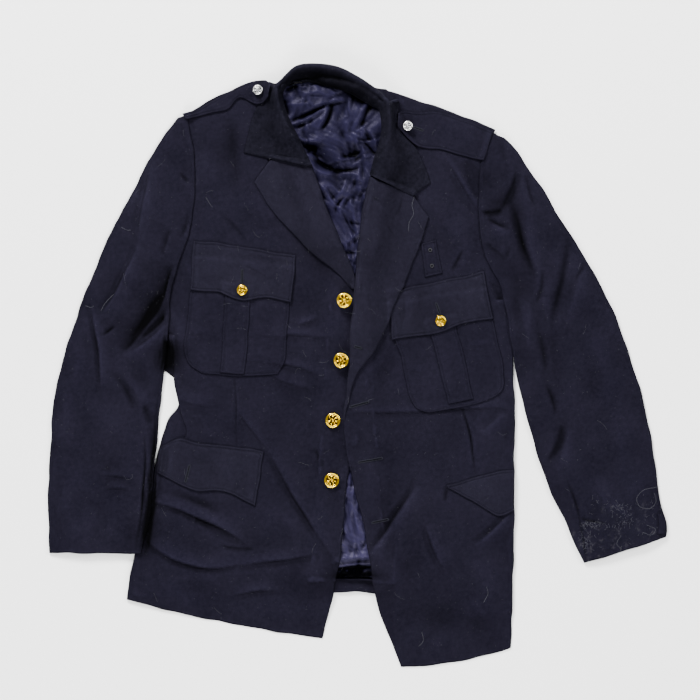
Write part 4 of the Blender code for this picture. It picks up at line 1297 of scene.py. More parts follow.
def new_material(name):
    """A material with its Principled shader and its tree."""
    material = bpy.data.materials.new(name)
    material.use_nodes = True
    return material, material.node_tree, material.node_tree.nodes["Principled BSDF"]


def add_node(tree, kind, **values):
    """A shader node, with the sockets or properties in values set."""
    item = tree.nodes.new(kind)
    for key, value in values.items():
        label = key.replace("_", " ").title()
        if label in item.inputs:
            item.inputs[label].default_value = value
        else:
            setattr(item, key, value)
    return item


def grey(level):
    """A neutral colour."""
    return (level, level, level, 1)


def object_place(tree):
    """Where each point lies in its object."""
    return tree.nodes.new("ShaderNodeTexCoord").outputs["Object"]


def kept_value(tree, name):
    """The value that a mesh keeps on its points under a name."""
    return add_node(tree, "ShaderNodeAttribute", attribute_name=name).outputs["Fac"]


def pattern(tree, kind, where, **values):
    """A texture node that reads a place."""
    item = add_node(tree, kind, **values)
    tree.links.new(where, item.inputs["Vector"])
    return item


def noise(tree, where, scale, detail=2.0, roughness=0.5):
    """A noise texture in object space."""
    item = pattern(tree, "ShaderNodeTexNoise", where, scale=scale, detail=detail, roughness=roughness)
    return item.outputs["Fac"]


def down_the_jacket(tree, where, start, end):
    """How far a place lies from one height on the jacket to another, 0 to 1."""
    parts = tree.nodes.new("ShaderNodeSeparateXYZ")
    tree.links.new(where, parts.inputs["Vector"])
    item = tree.nodes.new("ShaderNodeMapRange")
    item.inputs["From Min"].default_value = start
    item.inputs["From Max"].default_value = end
    tree.links.new(parts.outputs["Y"], item.inputs["Value"])
    return item.outputs["Result"]


def bump_normal(tree, height, strength, distance, under=None):
    """The normal over a height, on top of another normal if one is given."""
    item = add_node(tree, "ShaderNodeBump", strength=strength, distance=distance)
    tree.links.new(height, item.inputs["Height"])
    if under is not None:
        tree.links.new(under, item.inputs["Normal"])
    return item.outputs["Normal"]


def ramp(tree, source, stops):
    """A colour ramp through stops of (position, colour)."""
    item = tree.nodes.new("ShaderNodeValToRGB")
    while len(item.color_ramp.elements) < len(stops):
        item.color_ramp.elements.new(0.5)
    for element, (position, colour) in zip(item.color_ramp.elements, stops):
        element.position = position
        element.color = colour
    tree.links.new(source, item.inputs["Fac"])
    return item.outputs["Color"]


def join(tree, value, socket):
    """Give a socket a value, or link it to one."""
    if hasattr(value, "is_linked"):
        tree.links.new(value, socket)
    else:
        socket.default_value = value


def mix_colour(tree, factor, first, second, mode="MIX"):
    """Mix two colours, each a socket or a value."""
    item = add_node(tree, "ShaderNodeMix", data_type="RGBA", blend_type=mode)
    for index, value in ((0, factor), (6, first), (7, second)):
        join(tree, value, item.inputs[index])
    return item.outputs[2]


def tinted(tree, colour, tint):
    """A colour multiplied by another."""
    return mix_colour(tree, 1.0, colour, tint, "MULTIPLY")


def add_math(tree, operation, first, second):
    """A math node on sockets or values."""
    item = add_node(tree, "ShaderNodeMath", operation=operation)
    join(tree, first, item.inputs[0])
    join(tree, second, item.inputs[1])
    return item.outputs["Value"]


def plus(tree, first, second):
    """The sum of two sockets or values."""
    return add_math(tree, "ADD", first, second)


def times(tree, first, second):
    """The product of two sockets or values."""
    return add_math(tree, "MULTIPLY", first, second)


def stuck_lint(tree, place):
    """Share of pale lint: small specks, in some places only."""
    specks = pattern(tree, "ShaderNodeTexVoronoi", place, scale=210.0)
    near = add_math(tree, "LESS_THAN", specks.outputs["Distance"], 0.08)
    chance = add_math(tree, "GREATER_THAN", noise(tree, place, 55, 2, 0.5), 0.58)
    return times(tree, times(tree, near, chance), 0.22)


def cuff_dust(tree, place, dust):
    """Share of dust: patches that begin at the cuff."""
    patch = ramp(tree, noise(tree, place, 90, 6, 0.8), [(0.54, grey(0)), (0.76, grey(dust))])
    return mix_colour(tree, down_the_jacket(tree, place, DUST_TOP, DUST_FULL), grey(0), patch)


def wool_material(name, dark, light, dust=0.0):
    """Fulled wool: fine twill, nap, mottling and lint, with painted shade in its creases and painted
    highlight on its crests.
    """
    material, tree, shader = new_material(name)
    place = object_place(tree)
    broad = noise(tree, place, 14, 3, 0.6)
    mottle = noise(tree, place, 190, 4, 0.65)
    fuzz = noise(tree, place, 1500, 3, 0.7)
    weight = plus(tree, times(tree, broad, 0.45), times(tree, mottle, 0.55))
    base = ramp(tree, weight, [(0.33, dark), (0.68, light)])
    grain = ramp(tree, fuzz, [(0.3, (0.55, 0.55, 0.57, 1)), (0.75, (1.5, 1.5, 1.55, 1))])
    # Painted shade in the hollows and painted highlight on the crests
    shade = ramp(tree, kept_value(tree, "crease"), WOOL_SHADE)
    colour = tinted(tree, tinted(tree, base, grain), shade)
    colour = mix_colour(tree, stuck_lint(tree, place), colour, SPECK)
    if dust:
        colour = mix_colour(tree, cuff_dust(tree, place, dust), colour, DUST)
    tree.links.new(colour, shader.inputs["Base Color"])
    shader.inputs["Roughness"].default_value = 0.85
    shader.inputs["Specular IOR Level"].default_value = 0.02
    shader.inputs["Sheen Weight"].default_value = 0.004
    shader.inputs["Sheen Roughness"].default_value = 0.4
    shader.inputs["Sheen Tint"].default_value = (0.5, 0.5, 0.8, 1)
    twill = pattern(tree, "ShaderNodeTexWave", place, scale=520.0, distortion=1.2, detail=1.0,
                    bands_direction="DIAGONAL")
    height = plus(tree, times(tree, twill.outputs["Fac"], 0.35), fuzz)
    height = plus(tree, height, times(tree, mottle, 0.4))
    tree.links.new(bump_normal(tree, height, 0.55, 0.0005), shader.inputs["Normal"])
    return material


def satin_facets(tree, place):
    """Normal of the flat facets that thin satin crushes into."""
    stray = pattern(tree, "ShaderNodeTexNoise", place, scale=34.0, detail=3.0, roughness=0.6)
    bent = mix_colour(tree, 0.022, place, stray.outputs["Color"], "ADD")
    turned = pattern(tree, "ShaderNodeMapping", bent, rotation=(0.0, 0.0, 0.5), scale=(1.0, 0.5, 1.0))
    large = pattern(tree, "ShaderNodeTexVoronoi", turned.outputs["Vector"], scale=40.0)
    small = pattern(tree, "ShaderNodeTexVoronoi", turned.outputs["Vector"], scale=110.0)
    crushed = plus(tree, large.outputs["Distance"], times(tree, small.outputs["Distance"], 0.12))
    return bump_normal(tree, crushed, 0.6, 0.0055)


def satin_material(name):
    """Blue-violet satin: painted highlight on its creases, fine threads across, and painted light that makes
    it paler towards the hem.
    """
    material, tree, shader = new_material(name)
    place = object_place(tree)
    broad = noise(tree, place, 30, 4, 0.6)
    fine = noise(tree, place, 900, 2, 0.5)
    crease = kept_value(tree, "crease")
    # Painted light: darker near the neck and brighter towards the hem, in both the colour and the gloss
    painted_light_share = down_the_jacket(tree, place, SATIN_LIGHT_TOP, SATIN_LIGHT_BOTTOM)
    painted_light = mix_colour(tree, painted_light_share, grey(0.80), (1.6, 1.6, 1.48, 1))
    base = tinted(tree, ramp(tree, broad, [(0.3, VIOLET_DARK), (0.7, VIOLET_LIGHT)]), painted_light)
    # Painted shade in the hollows and painted highlight on the crests
    shade = ramp(tree, crease, SATIN_SHADE)
    tree.links.new(tinted(tree, base, shade), shader.inputs["Base Color"])
    # Painted reflection: the gloss is dimmed in the hollows and brighter on the crests
    gloss = tinted(tree, ramp(tree, crease, SATIN_GLOSS), painted_light)
    tree.links.new(gloss, shader.inputs["Specular Tint"])
    rough = ramp(tree, broad, [(0.3, grey(0.5)), (0.7, grey(0.38))])
    tree.links.new(rough, shader.inputs["Roughness"])
    shader.inputs["Specular IOR Level"].default_value = 0.14
    shader.inputs["Sheen Weight"].default_value = 0.02
    shader.inputs["Sheen Roughness"].default_value = 0.3
    shader.inputs["Sheen Tint"].default_value = (0.6, 0.6, 0.95, 1)
    threads = pattern(tree, "ShaderNodeTexWave", place, scale=900.0, distortion=0.4)
    height = plus(tree, times(tree, threads.outputs["Fac"], 0.3), fine)
    normal = bump_normal(tree, height, 0.25, 0.0003, satin_facets(tree, place))
    tree.links.new(normal, shader.inputs["Normal"])
    return material


def metal_material(name, bright, middle, dark, roughness):
    """Metal with dark hollows, read from the mesh's own relief, and patches of painted dark reflection."""
    material, tree, shader = new_material(name)
    place = object_place(tree)
    worn = noise(tree, place, 700, 4, 0.7)
    # Painted reflection: noise patches that darken the metal as dark surroundings mirrored in it would
    painted_dark_reflection = times(tree, noise(tree, place, 430, 2, 0.5), 1.9)
    depth = plus(tree, kept_value(tree, "relief"), add_math(tree, "SUBTRACT", painted_dark_reflection, 0.80))
    base = ramp(tree, depth, [(0.34, dark), (0.53, middle), (0.97, bright)])
    tree.links.new(base, shader.inputs["Base Color"])
    rough = ramp(tree, worn, [(0.3, grey(roughness)), (0.8, grey(roughness * 1.8))])
    tree.links.new(rough, shader.inputs["Roughness"])
    shader.inputs["Metallic"].default_value = 1.0
    tree.links.new(bump_normal(tree, worn, 0.15, 0.0002), shader.inputs["Normal"])
    return material


def thread_material(name, colour):
    """Twisted sewing thread."""
    material, tree, shader = new_material(name)
    strands = noise(tree, object_place(tree), 2600, 2, 0.6)
    lighter = tuple(min(1.0, value * 1.7) for value in colour[:3]) + (1,)
    tree.links.new(ramp(tree, strands, [(0.3, colour), (0.8, lighter)]), shader.inputs["Base Color"])
    shader.inputs["Roughness"].default_value = 0.8
    shader.inputs["Specular IOR Level"].default_value = 0.03
    tree.links.new(bump_normal(tree, strands, 0.4, 0.0002), shader.inputs["Normal"])
    return material


# Collar


def collar_controls(stations):
    """The collar's sections, each through points from the neck over the crest."""
    controls = []
    for station in stations:
        row = CollarStation(*station)
        inner = np.array([row.inner_x, row.inner_y, 0.0])
        crest = np.array([row.crest_x, row.crest_y, row.rise])
        outer = np.array([row.outer_x, row.outer_y, 0.0])
        tuck = min(max(row.tuck, 0.0), 1.0)
        away = (crest - inner)[0:2]
        away = away / np.linalg.norm(away)
        behind = crest + np.array([away[0] * BEHIND_CREST, away[1] * BEHIND_CREST, -row.rise * 0.5])
        foot = crest + np.array([
            -away[0] * FOOT_IN_FRONT, -away[1] * FOOT_IN_FRONT, COLLAR_WALL / 2 - row.rise,
        ])
        on_cloth = crest + (outer - crest) * ON_CLOTH
        on_cloth[2] = row.rise * 0.25
        nearer_edge = crest + (outer - crest) * NEAR_EDGE
        nearer_edge[2] = 0.0
        fall = behind * tuck + on_cloth * (1 - tuck)
        low = foot * tuck + nearer_edge * (1 - tuck)
        outer[2] = COLLAR_WALL / 2 * tuck
        controls.append(([inner, (inner + crest) / 2, crest, fall, low, outer], tuck))
    return controls


def collar_surface():
    """Middle surface of the collar, and which of its points are turned under."""
    stations = through_rows(COLLAR, STATION_STEPS)
    lengths = run_lengths(stations[:, 2:4])
    stations = read_table(stations, lengths, edge_shares(lengths[-1], COLLAR_GRID))
    shares = edge_shares(LEAF_WIDTH, LEAF_GRID)
    grid = []
    turned_under = []
    for points, tuck in collar_controls(stations):
        curve = through_rows(points, CURVE_STEPS)
        along = run_lengths(curve)
        grid.append(read_table(curve, along, shares))
        crest_share = along[CREST_POINT * CURVE_STEPS] / along[-1]
        turned_under.append((shares > crest_share + 0.02) & (tuck > 0.02))
    return collar_ends(np.array(grid)), np.array(turned_under)


def collar_ends(grid):
    """Draw the end of the leaf on the wearer's left out to the notch."""
    across = run_lengths(grid[0]) / run_lengths(grid[0])[-1]
    offsets = np.interp(across, [0, LEAF_CORNER, 1], [0, LEAF_DRAW, 0])
    span = grid[-1, -1, 0:2] - grid[-1, 0, 0:2]
    outwards = np.array([span[1], -span[0]]) / np.linalg.norm(span)
    if outwards[1] > 0:
        outwards = -outwards
    from_end = np.arange(len(grid))[::-1] * COLLAR_GRID
    fade = np.clip(1 - from_end / LEAF_FADE, 0, 1) ** 2
    shift = fade[:, None] * offsets[None, :]
    grid[..., 0:2] += shift[..., None] * outwards
    return grid


def surface_normals(grid):
    """Unit normals of a grid of points, pointing up where it is flat."""
    normals = np.cross(np.gradient(grid, axis=0), np.gradient(grid, axis=1))
    normals /= np.maximum(np.linalg.norm(normals, axis=2, keepdims=True), 1e-9)
    if normals[len(normals) // 2, 0, 2] < 0:
        normals = -normals
    return normals


def tuck_collar(grid, turned_under, field):
    """Give the field the part of the collar that the back lies on."""
    flat = turned_under & (grid[..., 2] < TUCK_HEIGHT)
    height = np.where(flat, COLLAR_WALL + SEAM_GAP, 0.0)
    field.lay(np.concatenate([grid[..., 0:2], height[..., None]], axis=2))


def make_collar(grid, turned_under, field, material):
    """The collar: stand and roll behind the neck, leaves on the fronts."""
    plan = grid[..., 0:2]
    thickness = rounded_wall(plan, COLLAR_WALL) / 2
    across = np.linspace(0, 1, plan.shape[1])[None, :]
    for rows_in in (np.arange(len(plan)), np.arange(len(plan))[::-1]):
        near_end = np.clip(rows_in * COLLAR_GRID / GORGE_LENGTH, GORGE_WALL_SHARE, 1)[:, None]
        thickness = np.where(across < GORGE_SHARE, thickness * near_end, thickness)
    rest = soften(field.read(plan, 1), 6)
    heights = np.where(turned_under, grid[..., 2], rest + thickness + SEAM_GAP + grid[..., 2])
    heights = heights + np.where(turned_under, 0, fold_relief(plan, COLLAR_FOLDS))
    quads = turned_under[:-1, :-1] & turned_under[1:, :-1]
    quads = quads & turned_under[:-1, 1:] & turned_under[1:, 1:]
    heights = clear_of_field(plan, heights, field, thickness + SEAM_GAP, ~quads)
    middle = np.concatenate([plan, heights[..., None]], axis=2)
    normals = surface_normals(middle)
    lower = middle - normals * thickness[..., None]
    upper = middle + normals * thickness[..., None]
    for side in (lower, upper):
        side[..., 2] = np.maximum(side[..., 2], 0)
    over = upper.copy()
    over[..., 2] = np.where(turned_under, 0, upper[..., 2])
    field.lay(over)
    piece, keep = wall_piece("collar_cloth", lower, upper, material, "collar", 1)
    # Painted shade inside the collar behind the neck and along its edges, with random blotches of tone
    inner = np.arange(plan.shape[1])[None, :] < plan.shape[1] * NECK_SHARE
    inside = soften(np.where(inner, NECK_SHADE, 0.0) * np.ones(plan.shape[:2]), 6)
    behind = np.exp(-((np.linspace(0, 1, len(plan)) - 0.5) / 0.2) ** 2)[:, None]
    blotches = soft_waves(plan, np.random.default_rng(SEED + 6), 14, 26, 2.4)
    mark_painted_shading(piece, upper, keep, inside * behind + blotches, 0.04, 0.05, 0.04)


# Buttons and eyelets


def hump(share, middle, half_width, height):
    """A flat-topped raised ring at one share of a radius."""
    return np.exp(-(np.abs(share - middle) / half_width) ** 4) * height


def button_height(share, angle):
    """Dome and relief of a button face, as shares of its radius: rosette, beaded ring and rim."""
    dome = 0.30 * np.sqrt(np.clip(1 - (share * 0.93) ** 2, 0, 1))
    petals = np.clip(0.15 + 1.3 * np.cos(PETALS * angle + 0.4 + 2.2 * share), 0, 1)
    beads = np.exp(-((share - 0.74) / 0.05) ** 2) * (0.5 + 0.5 * np.cos(BEADS * angle)) * 0.03
    boss = hump(share, 0.0, 0.15, 0.09)
    ring = hump(share, 0.74, 0.06, 0.07)
    rim = hump(share, 0.94, 0.075, 0.09)
    return dome, hump(share, 0.42, 0.20, 0.09) * petals + boss + ring + beads + rim


def button_seat(spot, radius, field):
    """Height at which a button rests: the highest cloth below its middle, half and full radius."""
    ring_angles = np.linspace(0, 2 * math.pi, 13)[:-1]
    around = [(spot.x + r * math.cos(t), spot.y + r * math.sin(t))
              for t in ring_angles for r in (0, radius / 2, radius)]
    return field.read(np.array(around), 1).max() + SEAM_GAP


def make_button(spot, field, material):
    """A domed button with a rosette, closed by a turned edge and a flat back."""
    radius = spot.radius * FACE_SHARE
    body = radius * BODY_SHARE
    seat = button_seat(spot, radius, field)
    share = np.linspace(0.0, 1.0, BUTTON_RINGS) ** 0.9
    angle = np.linspace(0, 2 * math.pi, BUTTON_SIDES, endpoint=False)
    s, a = np.meshgrid(share[1:], angle, indexing="ij")
    dome, relief = button_height(s, a)
    top_dome, top_relief = button_height(np.array([0.0]), np.array([0.0]))
    points = [(spot.x, spot.y, seat + body + radius * float(top_dome[0] + top_relief[0]))]
    face_points = np.stack([
        spot.x + radius * s * np.cos(a),
        spot.y + radius * s * np.sin(a),
        seat + body + radius * (dome + relief),
    ], axis=-1)
    points += [tuple(p) for p in face_points.reshape(-1, 3)]
    polished = np.where(s > POLISHED_FROM, POLISH, 0.0)
    values = [float(top_relief[0])] + list(np.maximum(relief, polished).reshape(-1))
    after = [(k + 1) % BUTTON_SIDES for k in range(BUTTON_SIDES)]
    faces = [(0, 1 + k, 1 + after[k]) for k in range(BUTTON_SIDES)]
    for ring in range(BUTTON_RINGS - 2):
        low = 1 + ring * BUTTON_SIDES
        high = low + BUTTON_SIDES
        faces += [(low + k, high + k, high + after[k], low + after[k]) for k in range(BUTTON_SIDES)]
    last = 1 + (BUTTON_RINGS - 2) * BUTTON_SIDES
    for reach, level in BUTTON_EDGE:
        first = len(points)
        points += [(spot.x + radius * reach * math.cos(t), spot.y + radius * reach * math.sin(t),
                    seat + body * level) for t in angle]
        # The turned edge is painted dark all round, as painted shade
        values += [0.05] * BUTTON_SIDES
        faces += [(last + k, first + k, first + after[k], last + after[k]) for k in range(BUTTON_SIDES)]
        last = first
    points.append((spot.x, spot.y, seat))
    values.append(0.0)
    faces += [(last + after[k], last + k, len(points) - 1) for k in range(BUTTON_SIDES)]
    piece = object_from(spot.name + "_face", np.array(points), faces, material, spot.name)
    strongest = max(values)
    keep_values(piece, "relief", [value / strongest for value in values])


def tube_mesh(paths, radius, sides):
    """Points and faces of closed-ended tubes along lines of points."""
    points = []
    faces = []
    turns = [2 * math.pi * k / sides for k in range(sides)]
    for path in paths:
        path = np.asarray(path, dtype=float)
        ways = np.gradient(path, axis=0)
        ways /= np.maximum(np.linalg.norm(ways, axis=1, keepdims=True), 1e-9)
        side = np.cross(ways, [0, 0, 1.0])
        flat = np.linalg.norm(side, axis=1, keepdims=True)
        side = np.where(flat < 1e-3, [1.0, 0, 0], side / np.maximum(flat, 1e-9))
        up = np.cross(side, ways)
        first = len(points)
        last = first + (len(path) - 1) * sides
        for middle, aside, above in zip(path, side, up):
            points += [middle + radius * (math.cos(t) * aside + math.sin(t) * above) for t in turns]
        for start in range(first, last, sides):
            for k in range(sides):
                a = start + k
                b = start + (k + 1) % sides
                faces.append((a, b, b + sides, a + sides))
        faces.append(tuple(first + k for k in range(sides))[::-1])
        faces.append(tuple(last + k for k in range(sides)))
    return np.array(points), faces


def edge_path(top, side, inset):
    """Points on a piece at one distance in from one of its edges (left, right, first or last)."""
    reach = edge_distance(top[..., 0:2])[side]
    lines = top
    if side in (FIRST, LAST):
        lines = np.swapaxes(top, 0, 1)
        reach = reach.T
    path = []
    for line, inwards in zip(lines, reach):
        if side in (RIGHT, LAST):
            line = line[::-1]
            inwards = inwards[::-1]
        path.append([np.interp(inset, inwards, line[:, axis]) for axis in range(3)])
    path = np.array(path)
    along = run_lengths(path[:, 0:2])
    inside = (along > inset) & (along < along[-1] - inset)
    return path[inside]


def stitch_points(path, rng):
    """Short threads along a path, each dipping into the cloth at both ends."""
    along = run_lengths(path)
    threads = []
    start = 0.0
    while start + STITCH_LENGTH < along[-1]:
        at = start + STITCH_LENGTH * np.array([0.0, 0.2, 0.8, 1.0])
        thread = np.column_stack([np.interp(at, along, path[:, axis]) for axis in range(3)])
        thread[:, 2] += np.array([-0.25, 0.10, 0.10, -0.25])
        threads.append(thread)
        start += STITCH_PITCH * rng.uniform(0.94, 1.06)
    return threads


def make_threads(name, threads, radius, sides, material):
    """Many thin threads in one piece."""
    points, faces = tube_mesh(threads, radius, sides)
    object_from(name, points, faces, material, None)


def over_cloth(path, field, lift):
    """Lay a line of plan points over the cloth, without dips that would cut into it."""
    below = field.read(path, 1)
    padded = np.pad(below, 2, mode="edge")
    highest = np.max([padded[k:k + len(below)] for k in range(5)], axis=0)
    padded = np.pad(highest, 1, mode="edge")
    level = (padded[:-2] + padded[1:-1] + padded[2:]) / 3
    return np.column_stack([path, np.maximum(level, below) + lift])


def binding_wrap(start, way, reaches, field):
    """One turn of thread that lies across the bound edge of a slit."""
    laid = over_cloth(np.array([start + way * reach for reach in reaches]), field, 0.0)
    laid[:, 2] = laid[:, 2].mean() + np.array([-0.10, 0.26, 0.26, -0.15])
    return laid


def make_buttonhole(hole, field, finishes):
    """A slit bound with thread: wraps on both sides and round both ends."""
    start = np.array([hole.from_x, hole.from_y], dtype=float)
    end = np.array([hole.to_x, hole.to_y], dtype=float)
    length = np.linalg.norm(end - start)
    forward = (end - start) / length
    sideways = np.array([-forward[1], forward[0]])
    count = int(length / WRAP_PITCH)
    wraps = []
    for side in (-1, 1):
        for index in range(count + 1):
            middle = start + forward * length * index / count
            wraps.append(binding_wrap(middle, sideways * side, (0.45, 0.8, 1.5, 2.0), field))
    for place, turn in ((start, math.pi), (end, 0.0)):
        for angle in np.linspace(-1.2, 1.2, 7):
            way = math.cos(turn + angle) * forward + math.sin(turn + angle) * sideways
            wraps.append(binding_wrap(place, way, (0.4, 0.9, 1.5, 2.0), field))
    make_threads(hole.name + "_binding", wraps, WRAP_RADIUS, 5, finishes["binding"])
    # A dark tube along the slit: painted shadow in its opening
    slit = np.array([start + forward * length * share for share in np.linspace(0.02, 0.98, 24)])
    make_threads(hole.name + "_slit_shadow", [over_cloth(slit, field, 0.02)], SLIT_SHADOW_RADIUS, 6, finishes["shadow"])


def hair(rng, start, length, heading, curl):
    """Plan points of one loose fibre."""
    steps = max(5, int(length / 0.9))
    bend = rng.normal(0, curl)
    points = [np.array(start, dtype=float)]
    for _ in range(steps):
        bend += rng.normal(0, curl * 0.35)
        heading += bend * 0.12
        points.append(points[-1] + np.array([math.cos(heading), math.sin(heading)]) * length / steps)
    return np.array(points)


def scattered_fibres(rng, field, drift):
    """Loose fibres of one drift, where there is cloth."""
    fibres = []
    while len(fibres) < drift.count:
        start = (rng.uniform(drift.low_x, drift.high_x), rng.uniform(drift.low_y, drift.high_y))
        length = rng.uniform(drift.shortest, drift.longest)
        path = hair(rng, start, length, rng.uniform(0, 2 * math.pi), drift.curl)
        if field.read(path, 0).min() > CLOTH_LEVEL:
            fibres.append(over_cloth(path, field, 0.12))
    return fibres


def make_eyelet(spot, field, material):
    """A small metal ring set in the badge tab."""
    seat = field.read(np.array([(spot.x, spot.y)]), 2).max() + SEAM_GAP
    points = []
    faces = []
    for i in range(RING_STEPS):
        t = 2 * math.pi * i / RING_STEPS
        for j in range(WIRE_STEPS):
            p = 2 * math.pi * j / WIRE_STEPS
            reach = spot.radius - WIRE_RADIUS + WIRE_RADIUS * math.cos(p)
            points.append((spot.x + reach * math.cos(t), spot.y + reach * math.sin(t),
                           seat + WIRE_RADIUS + WIRE_RADIUS * math.sin(p)))
            own = i * WIRE_STEPS
            later = ((i + 1) % RING_STEPS) * WIRE_STEPS
            beside = (j + 1) % WIRE_STEPS
            faces.append((own + j, later + j, later + beside, own + beside))
    piece = object_from(spot.name + "_ring", np.array(points), faces, material, spot.name)
    # The wire is painted lighter on top and darker low down, as painted highlight and shade
    keep_values(piece, "relief", [0.4 + 0.4 * (p[2] - seat) for p in points])


# Studio


def link(item):
    """Put an object into the scene, and return it."""
    bpy.context.scene.collection.objects.link(item)
    return item


def add_camera():
    """Straight above the jacket, so that the frame has its set span."""
    camera = bpy.data.cameras.new("camera")
    camera.sensor_width = SENSOR_WIDTH
    camera.lens = SENSOR_WIDTH * CAMERA_HEIGHT / FRAME_SPAN
    camera.clip_end = 20
    item = link(bpy.data.objects.new("camera", camera))
    item.location = (VIEW_CENTRE[0], VIEW_CENTRE[1], CAMERA_HEIGHT)
    item.rotation_euler = (0, 0, 0)
    bpy.context.scene.camera = item


def add_lamp(lamp):
    """A soft square white lamp that faces the middle of the jacket."""
    light = bpy.data.lights.new(lamp.name, "AREA")
    light.size = lamp.size
    light.energy = lamp.power
    item = link(bpy.data.objects.new(lamp.name, light))
    item.location = lamp.place
    item.rotation_euler = (-Vector(lamp.place)).to_track_quat("-Z", "Y").to_euler()


def add_floor():
    """A plain pale floor just below the cloth."""
    half = FLOOR_HALF
    corners = [(x, y, FLOOR_LEVEL) for x, y in ((-half, -half), (half, -half), (half, half), (-half, half))]
    mesh = bpy.data.meshes.new("floor")
    mesh.from_pydata(corners, [], [(0, 1, 2, 3)])
    material, _, shader = new_material("floor_white")
    shader.inputs["Base Color"].default_value = FLOOR_WHITE
    shader.inputs["Roughness"].default_value = 0.9
    mesh.materials.append(material)
    floor = link(bpy.data.objects.new("floor", mesh))


def add_sky():
    """An even white sky."""
    world = bpy.data.worlds.new("studio")
    bpy.context.scene.world = world
    world.use_nodes = True
    background = world.node_tree.nodes["Background"]
    background.inputs["Color"].default_value = (1, 1, 1, 1)
    background.inputs["Strength"].default_value = SKY_STRENGTH


# Assembly


def lining_creases(rng):
    """The lining's folds, with short random creases over each part that shows."""
    return (
        LINING_FOLDS
        + random_creases(rng, 34, (-100, 40, 250, 385), (16, 50), (0.4, 1.5))
        + random_creases(rng, 16, (-60, 20, 130, 250), (14, 40), (0.4, 1.1))
        + random_creases(rng, 14, (-45, 30, -290, -140), (14, 44), (0.4, 1.2))
    )


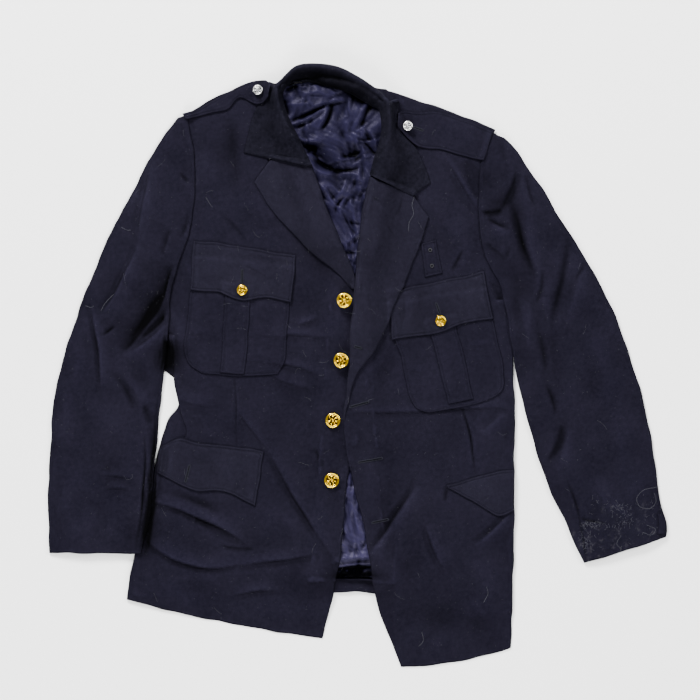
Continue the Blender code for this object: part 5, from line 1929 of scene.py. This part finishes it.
def build_cloth(field, finishes):
    """Lay every piece of cloth, from the floor up, and return the upper surfaces."""
    rng = np.random.default_rng(SEED)
    fine = finishes["facing"]
    # Lapels take weaker painted shade and highlight from their relief and at their edges
    lapel_marks = {"share": 0.03, "rim": 0.04}
    collar_grid, turned_under = collar_surface()
    tuck_collar(collar_grid, turned_under, field)
    tops = {}

    def waves(size, height):
        """Low unevenness of a size and height, for a piece to take on."""
        return lambda plan: soft_waves(plan, rng, 9, size, height)

    def lay(node, rows, wall, spacing, folds, rests_on, material=finishes["wool"], slot="wool", **extra):
        """Lay the piece that replaces a node."""
        tops[node] = lay_piece(node + "_cloth", node, rows, wall, spacing, folds, field, material, slot,
                               rests_on, stitched=STITCHED.get(node, ()), **extra)

    lay("back", BACK, WOOL_WALL, BACK_GRID, NO_FOLDS, ["floor"])
    lay("sleeve_right_under", SLEEVE_RIGHT, WOOL_WALL, PLAIN_GRID, NO_FOLDS, ["floor"], inset=4.0)
    lay("sleeve_left_under", SLEEVE_LEFT, WOOL_WALL, PLAIN_GRID, NO_FOLDS, ["floor"], inset=4.0)
    lay("side_panel_right", SIDE_PANEL_RIGHT, WOOL_WALL, PANEL_GRID, NO_FOLDS, ["back"])
    lay("side_panel_left", SIDE_PANEL_LEFT, WOOL_WALL, PLAIN_GRID, NO_FOLDS, ["back"])
    lay("back_lining", BACK_LINING, LINING_WALL, LINING_GRID, lining_creases(rng), ["back"],
        finishes["satin"], "satin", waves=crumple, sharp=True, reach=1, soft=3, base=5.0,
        marks={"scale": 0.10, "share": 0.045})
    lay("back_hem", BACK_HEM, HEM_WALL, PANEL_GRID, NO_FOLDS, ["back"], waves=waves(30, 0.6))
    lay("front_right", FRONT_RIGHT, FRONT_WALL, PANEL_GRID, FRONT_RIGHT_FOLDS, ["back"],
        waves=waves(90, 1.2), soft=480)
    lay("front_left", FRONT_LEFT, FRONT_WALL, PANEL_GRID, FRONT_LEFT_FOLDS, ["back", "front_right"],
        waves=waves(90, 1.2), soft=480)
    lay("sleeve_right", SLEEVE_RIGHT, WOOL_WALL, SLEEVE_GRID, SLEEVE_RIGHT_FOLDS,
        ["sleeve_right_under"], waves=waves(70, 1.5), soft=200)
    lay("sleeve_left", SLEEVE_LEFT, WOOL_WALL, SLEEVE_GRID, SLEEVE_LEFT_FOLDS,
        ["sleeve_left_under"], finishes["dusty"], waves=waves(70, 1.5), soft=200)
    for node, rows, carrier in (
        ("chest_pocket_right", CHEST_POCKET_RIGHT, "front_right"),
        ("chest_pocket_left", CHEST_POCKET_LEFT, "front_left"),
    ):
        lay(node, rows, POCKET_WALL, TRIM_GRID, POCKET_FOLDS, [carrier], waves=waves(50, 0.6))
    lay("pleat_right", PLEAT_RIGHT, POCKET_WALL, TRIM_GRID, NO_FOLDS, ["chest_pocket_right"])
    lay("pleat_left", PLEAT_LEFT, POCKET_WALL, TRIM_GRID, NO_FOLDS, ["chest_pocket_left"])
    for node, rows, carrier in (
        ("chest_flap_right", CHEST_FLAP_RIGHT, "chest_pocket_right"),
        ("chest_flap_left", CHEST_FLAP_LEFT, "chest_pocket_left"),
        ("lower_flap_right", LOWER_FLAP_RIGHT, "front_right"),
        ("lower_flap_left", LOWER_FLAP_LEFT, "front_left"),
    ):
        lay(node, rows, FLAP_WALL, TRIM_GRID, FLAP_FOLDS, [carrier], fine, waves=waves(60, 0.7))
    lay("badge_tab", BADGE_TAB, POCKET_WALL, TRIM_GRID, NO_FOLDS, ["front_left"])
    lay("lapel_right", LAPEL_RIGHT, COLLAR_WALL, TRIM_GRID, LAPEL_RIGHT_FOLDS, ["front_right"], fine,
        cap=LAPEL_RIGHT_CAP, rolls=[Roll(RIGHT, 4.0, 10.0, 40.0)], waves=waves(70, 0.8), ending=2.5,
        marks=lapel_marks)
    lay("lapel_left", LAPEL_LEFT, COLLAR_WALL, TRIM_GRID, LAPEL_LEFT_FOLDS, ["front_left"], fine,
        cap=LAPEL_LEFT_CAP, rolls=[Roll(LEFT, 4.0, 10.0, 40.0)], waves=waves(70, 0.8), ending=2.5,
        marks=lapel_marks)
    make_collar(collar_grid, turned_under, field, finishes["collar"])
    lay("epaulette_right", EPAULETTE_RIGHT, FLAP_WALL, TRIM_GRID, NO_FOLDS, ["front_right"])
    lay("epaulette_left", EPAULETTE_LEFT, FLAP_WALL, TRIM_GRID, NO_FOLDS, ["front_left"])
    lay("cuff_tab", CUFF_TAB, POCKET_WALL, TRIM_GRID, NO_FOLDS, ["sleeve_left"])
    return tops


def make_finishes():
    """Every material of the jacket, by its use."""
    return {
        "wool": wool_material("navy_wool", NAVY_DARK, NAVY_LIGHT),
        "dusty": wool_material("navy_wool_dusty", NAVY_DARK, NAVY_LIGHT, DUST_SHARE),
        "facing": wool_material("navy_wool_worn", WORN_DARK, WORN_LIGHT),
        "collar": wool_material("navy_wool_collar", COLLAR_DARK, COLLAR_LIGHT),
        "satin": satin_material("violet_satin"),
        "gold_button": metal_material("gilt", *GILT, 0.16),
        "silver_button": metal_material("white_metal", *WHITE_METAL, 0.2),
        "eyelet": metal_material("eyelet_metal", *EYELET_METAL, 0.45),
        "thread": thread_material("navy_thread", NAVY_THREAD),
        "binding": thread_material("binding_thread", BINDING_THREAD),
        "shadow": thread_material("slit_shadow", SLIT_SHADOW),
        "lint": thread_material("pale_lint", PALE_LINT),
    }


def add_sewing(tops, field, finishes, rng):
    """Edge stitching, stray threads and buttonholes."""
    for node, edges in STITCHED.items():
        threads = []
        for edge in edges:
            threads += stitch_points(edge_path(tops[node], edge, STITCH_INSET), rng)
        make_threads(node + "_stitching", threads, THREAD_RADIUS, 5, finishes["thread"])
    strays = [over_cloth(through_rows(path, 10), field, 0.15) for path in STRAY_THREADS]
    make_threads("stray_threads", strays, STRAY_RADIUS, 5, finishes["lint"])
    for hole in BUTTONHOLES:
        make_buttonhole(hole, field, finishes)


def add_lint(field, finishes, rng):
    """Loose fibres on the cloth."""
    for drift in LINT:
        fibres = scattered_fibres(rng, field, drift)
        make_threads(drift.name, fibres, drift.radius, 4, finishes["lint"])


def add_metal(field, finishes):
    """Buttons, and eyelets with a dark disc in each hole as painted shadow."""
    for spot in SPOTS:
        make_button(spot, field, finishes[spot.slot])
    for spot in EYELETS:
        make_eyelet(spot, field, finishes["eyelet"])
        # A dark disc in the hole: painted shadow
        hole = over_cloth(np.array([(spot.x - 0.3, spot.y), (spot.x + 0.3, spot.y)]), field, -0.9)
        make_threads(spot.name + "_hole_shadow", [hole], EYELET_SHADOW_RADIUS, 12, finishes["shadow"])


def build():
    """The whole scene."""
    add_camera()
    add_floor()
    for lamp in LAMPS:
        add_lamp(lamp)
    add_sky()
    finishes = make_finishes()
    field = HeightField()
    tops = build_cloth(field, finishes)
    rng = np.random.default_rng(SEED + 1)
    add_sewing(tops, field, finishes, rng)
    add_lint(field, finishes, rng)
    add_metal(field, finishes)


build()
